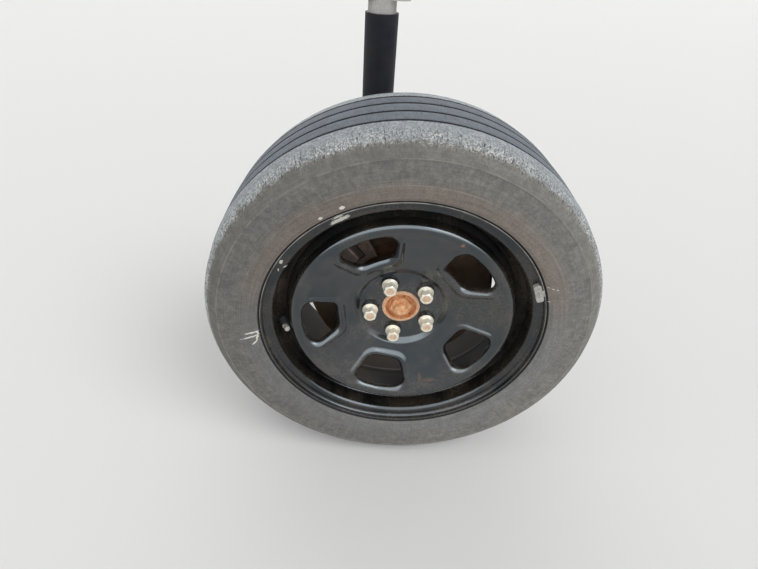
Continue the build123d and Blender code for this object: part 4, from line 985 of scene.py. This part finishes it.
def window_rings():
    """Rings of a window at angle 0, from the face over its bead to its edge, as x, y, z."""
    tilt = 1.0 / hypot(1.0, CONE_SLOPE)
    lean = CONE_SLOPE * tilt
    rings = []
    for rise, height in LIP_RINGS:
        line = window_line(rise)
        along = line[:, 0]
        x = WINDOW_MIDDLE + along * tilt
        z = line[:, 1]
        on_face = np.stack([x, cone_y(np.hypot(x, z)), z], axis=1)
        y = cone_y(WINDOW_MIDDLE) + along * lean
        at_edge = np.stack([x - LIP_DROP * lean, y + LIP_DROP * tilt, z], axis=1)
        share = np.clip((LIP_FADE[1] - along) / (LIP_FADE[1] - LIP_FADE[0]), 0.0, 1.0)
        share = share * share * (3.0 - 2.0 * share)
        on_face[:, 1] -= max(height, 0.0) * share
        roll = 1.0 - sqrt(1.0 - crest_share(rise) ** 2)
        drop = max(-height, 0.0) / LIP_DROP * share + roll * (1.0 - share)
        rings.append(on_face + (at_edge - on_face) * drop[:, None])
    return rings


def inside(points, outline):
    """Which points lie within a convex outline made a little larger, so that none crowds its edge."""
    centre = outline.mean(axis=0)
    swollen = centre + (outline - centre) * HOLE_MARGIN
    after = np.roll(swollen, -1, axis=0)
    side = np.stack([
        (b[0] - a[0]) * (points[:, 1] - a[1]) - (b[1] - a[1]) * (points[:, 0] - a[0])
        for a, b in zip(swollen, after)
    ])
    return (side > 0.0).all(axis=0) | (side < 0.0).all(axis=0)


class Sheet:
    """Sheet metal in the making: points, and faces that share them."""

    def __init__(self):
        self.points = []
        self.faces = []

    def add(self, points):
        start = len(self.points)
        self.points += [tuple(point) for point in points]
        return list(range(start, len(self.points)))

    def ring(self, radius, y):
        return self.add([(x, y, z) for x, z in ring_points(radius, DISC_TURNS)])

    def strips(self, rings):
        """Bands of four-sided faces between each ring and the next."""
        for first, second in zip(rings[:-1], rings[1:]):
            for j in range(len(first)):
                k = (j + 1) % len(first)
                self.faces.append((first[j], first[k], second[k], second[j]))

    def web(self, outside, holes, pitch, height):
        """Triangles between an outer ring and the holes within it, at a height that follows the radius."""
        lines = [outside] + holes
        flat = [np.array([(self.points[k][0], self.points[k][2]) for k in line]) for line in lines]
        reach = np.hypot(*flat[0][0])
        least = min(np.hypot(*line[0]) for line in flat)
        grid = []
        for radius in np.arange(least + pitch, reach - pitch * 0.6, pitch):
            grid.append(ring_points(radius, int(2.0 * pi * radius / pitch)))
        grid = np.concatenate(grid)
        for hole in flat[1:]:
            grid = grid[~inside(grid, hole)]
        free = self.add([(x, height(hypot(x, z)), z) for x, z in grid])
        index = [k for line in lines for k in line] + free
        owner = [n for n, line in enumerate(lines) for _ in line] + [-1] * len(free)
        edges = []
        start = 0
        for line in lines:
            edges += [(start + j, start + (j + 1) % len(line)) for j in range(len(line))]
            start += len(line)
        spots = [Vector((self.points[k][0], self.points[k][2])) for k in index]
        _, _, triangles, origins, _, _ = delaunay_2d_cdt(spots, edges, [], 0, 1e-5, True)
        for triangle in triangles:
            three = [origins[k][0] for k in triangle]
            owners = {owner[k] for k in three}
            if len(owners) > 1 or owners <= {0, -1}:
                self.faces.append(tuple(index[k] for k in three))


def face_rows():
    """Points of the face's line: the bore's, the dish's between the webs, and the crest's and skirt's."""
    line = [(point.x, point.y) for point in rounded(FACE_LINE, FACE_TURN_STEP)]
    dish = [point for point in line if DISH_RUN[0] < point[0] < DISH_RUN[1]]
    crest = [point for point in line if point[0] > CREST_RUN]
    return line[0], dish, crest


def turned_about(points, angle):
    """Points turned about the wheel's axis by an angle in degrees."""
    c = cos(radians(angle))
    d = sin(radians(angle))
    return np.stack([
        points[:, 0] * c - points[:, 2] * d, points[:, 1], points[:, 0] * d + points[:, 2] * c,
    ], axis=1)


def disc_skin(material):
    sheet = Sheet()
    bore, dish, crest = face_rows()
    bore_ring = sheet.ring(*bore)
    dish_rings = [sheet.ring(*point) for point in dish]
    crest_rings = [sheet.ring(*point) for point in crest]
    seats = []
    windows = []
    for angle in STUD_ANGLES:
        x = STUD_CIRCLE * cos(radians(angle))
        z = STUD_CIRCLE * sin(radians(angle))
        seats.append([
            sheet.add([(x + dx, PAD_Y - height, z + dz) for dx, dz in ring_points(radius, SEAT_POINTS)])
            for radius, height in SEAT_RINGS
        ])
        windows.append([sheet.add(turned_about(points, angle)) for points in window_rings()])
    for rings in [dish_rings, crest_rings] + seats + windows:
        sheet.strips(rings)
    sheet.web(dish_rings[0], [bore_ring] + [rings[0] for rings in seats], PAD_PITCH, lambda radius: PAD_Y)
    sheet.web(crest_rings[0], [dish_rings[-1]] + [rings[0] for rings in windows], CONE_PITCH, cone_y)
    points = [tuple(Vector(point) * MM + WHEEL) for point in sheet.points]
    skin = mesh_object("disc_skin", points, sheet.faces, material, DISC_SHARP)
    work = bmesh.new()
    work.from_mesh(skin.data)
    bmesh.ops.recalc_face_normals(work, faces=work.faces)
    work.normal_update()
    if sum(face.normal.y * face.calc_area() for face in work.faces) > 0.0:
        bmesh.ops.reverse_faces(work, faces=work.faces)
    bmesh.ops.solidify(work, geom=work.faces[:], thickness=SHEET * MM)
    work.to_mesh(skin.data)
    work.free()
    skin.data.shade_smooth()
    skin.data.set_sharp_from_angle(angle=radians(DISC_SHARP))
    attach(skin, "wheel")
    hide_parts("wheel_disc")


FLOOR_SIZE = 60.0
FLOOR_COLOUR = (0.80, 0.80, 0.79)
AMBIENT = 0.55
BACKDROP = 0.82
# Gloss shows a brighter sky overhead, which fades in over these heights of the world's direction
OVERHEAD = 3.8
OVERHEAD_FADE = (0.10, 0.50)
# Lamps far off: name, direction from the wheel, spread in degrees, strength
LAMPS = (
    ("key", (0.75, -0.6, 1.0), 35.0, 1.15),
    ("fill", (-1.0, -0.55, 0.8), 60.0, 0.30),
    ("rear", (-0.2, 1.0, 0.8), 60.0, 0.45),
)


def studio():
    world = bpy.data.worlds.new("studio")
    bpy.context.scene.world = world
    world.use_nodes = True
    nodes = world.node_tree.nodes
    links = world.node_tree.links
    sky = nodes["Background"]
    sky.inputs["Color"].default_value = (1.0, 1.0, 1.0, 1.0)
    rays = nodes.new("ShaderNodeLightPath")
    way = nodes.new("ShaderNodeSeparateXYZ")
    links.new(nodes.new("ShaderNodeTexCoord").outputs["Generated"], way.inputs[0])
    mirrored = nodes.new("ShaderNodeMapRange")
    mirrored.interpolation_type = "SMOOTHSTEP"
    mirrored.inputs["From Min"].default_value = OVERHEAD_FADE[0]
    mirrored.inputs["From Max"].default_value = OVERHEAD_FADE[1]
    mirrored.inputs["To Min"].default_value = BACKDROP
    mirrored.inputs["To Max"].default_value = OVERHEAD
    links.new(way.outputs[2], mirrored.inputs["Value"])
    level = AMBIENT
    for ray, strength in (
        ("Is Glossy Ray", mirrored.outputs["Result"]),
        ("Is Transmission Ray", BACKDROP),
        ("Is Camera Ray", BACKDROP),
    ):
        choice = nodes.new("ShaderNodeMix")
        links.new(rays.outputs[ray], choice.inputs["Factor"])
        # Inputs 2 and 3 are the node's two numbers, and its first output is their mix
        for socket, value in zip(choice.inputs[2:4], (level, strength)):
            if isinstance(value, float):
                socket.default_value = value
            else:
                links.new(value, socket)
        level = choice.outputs[0]
    links.new(level, sky.inputs["Strength"])
    for name, direction, spread, strength in LAMPS:
        lamp = bpy.data.lights.new(name, "SUN")
        lamp.angle = radians(spread)
        lamp.energy = strength
        holder = bpy.data.objects.new(name, lamp)
        holder.rotation_euler = (-Vector(direction)).to_track_quat("-Z", "Y").to_euler()
        bpy.context.scene.collection.objects.link(holder)


def floor():
    material = bpy.data.materials.new("floor")
    material.use_nodes = True
    surface = material.node_tree.nodes["Principled BSDF"]
    surface.inputs["Base Color"].default_value = (*FLOOR_COLOUR, 1.0)
    surface.inputs["Roughness"].default_value = 0.9
    surface.inputs["Specular IOR Level"].default_value = 0.2
    half = FLOOR_SIZE / 2.0
    corners = [(x, y, FLOOR_Z) for x, y in ((-half, -half), (half, -half), (half, half), (-half, half))]
    mesh_object("floor", corners, [(0, 1, 2, 3)], material)


camera()
studio()
floor()
bpy.context.scene.view_settings.view_transform = "Standard"
finishes = materials()
dress(finishes)
tyre_skin()
disc_skin(finishes["wheel_disc"])
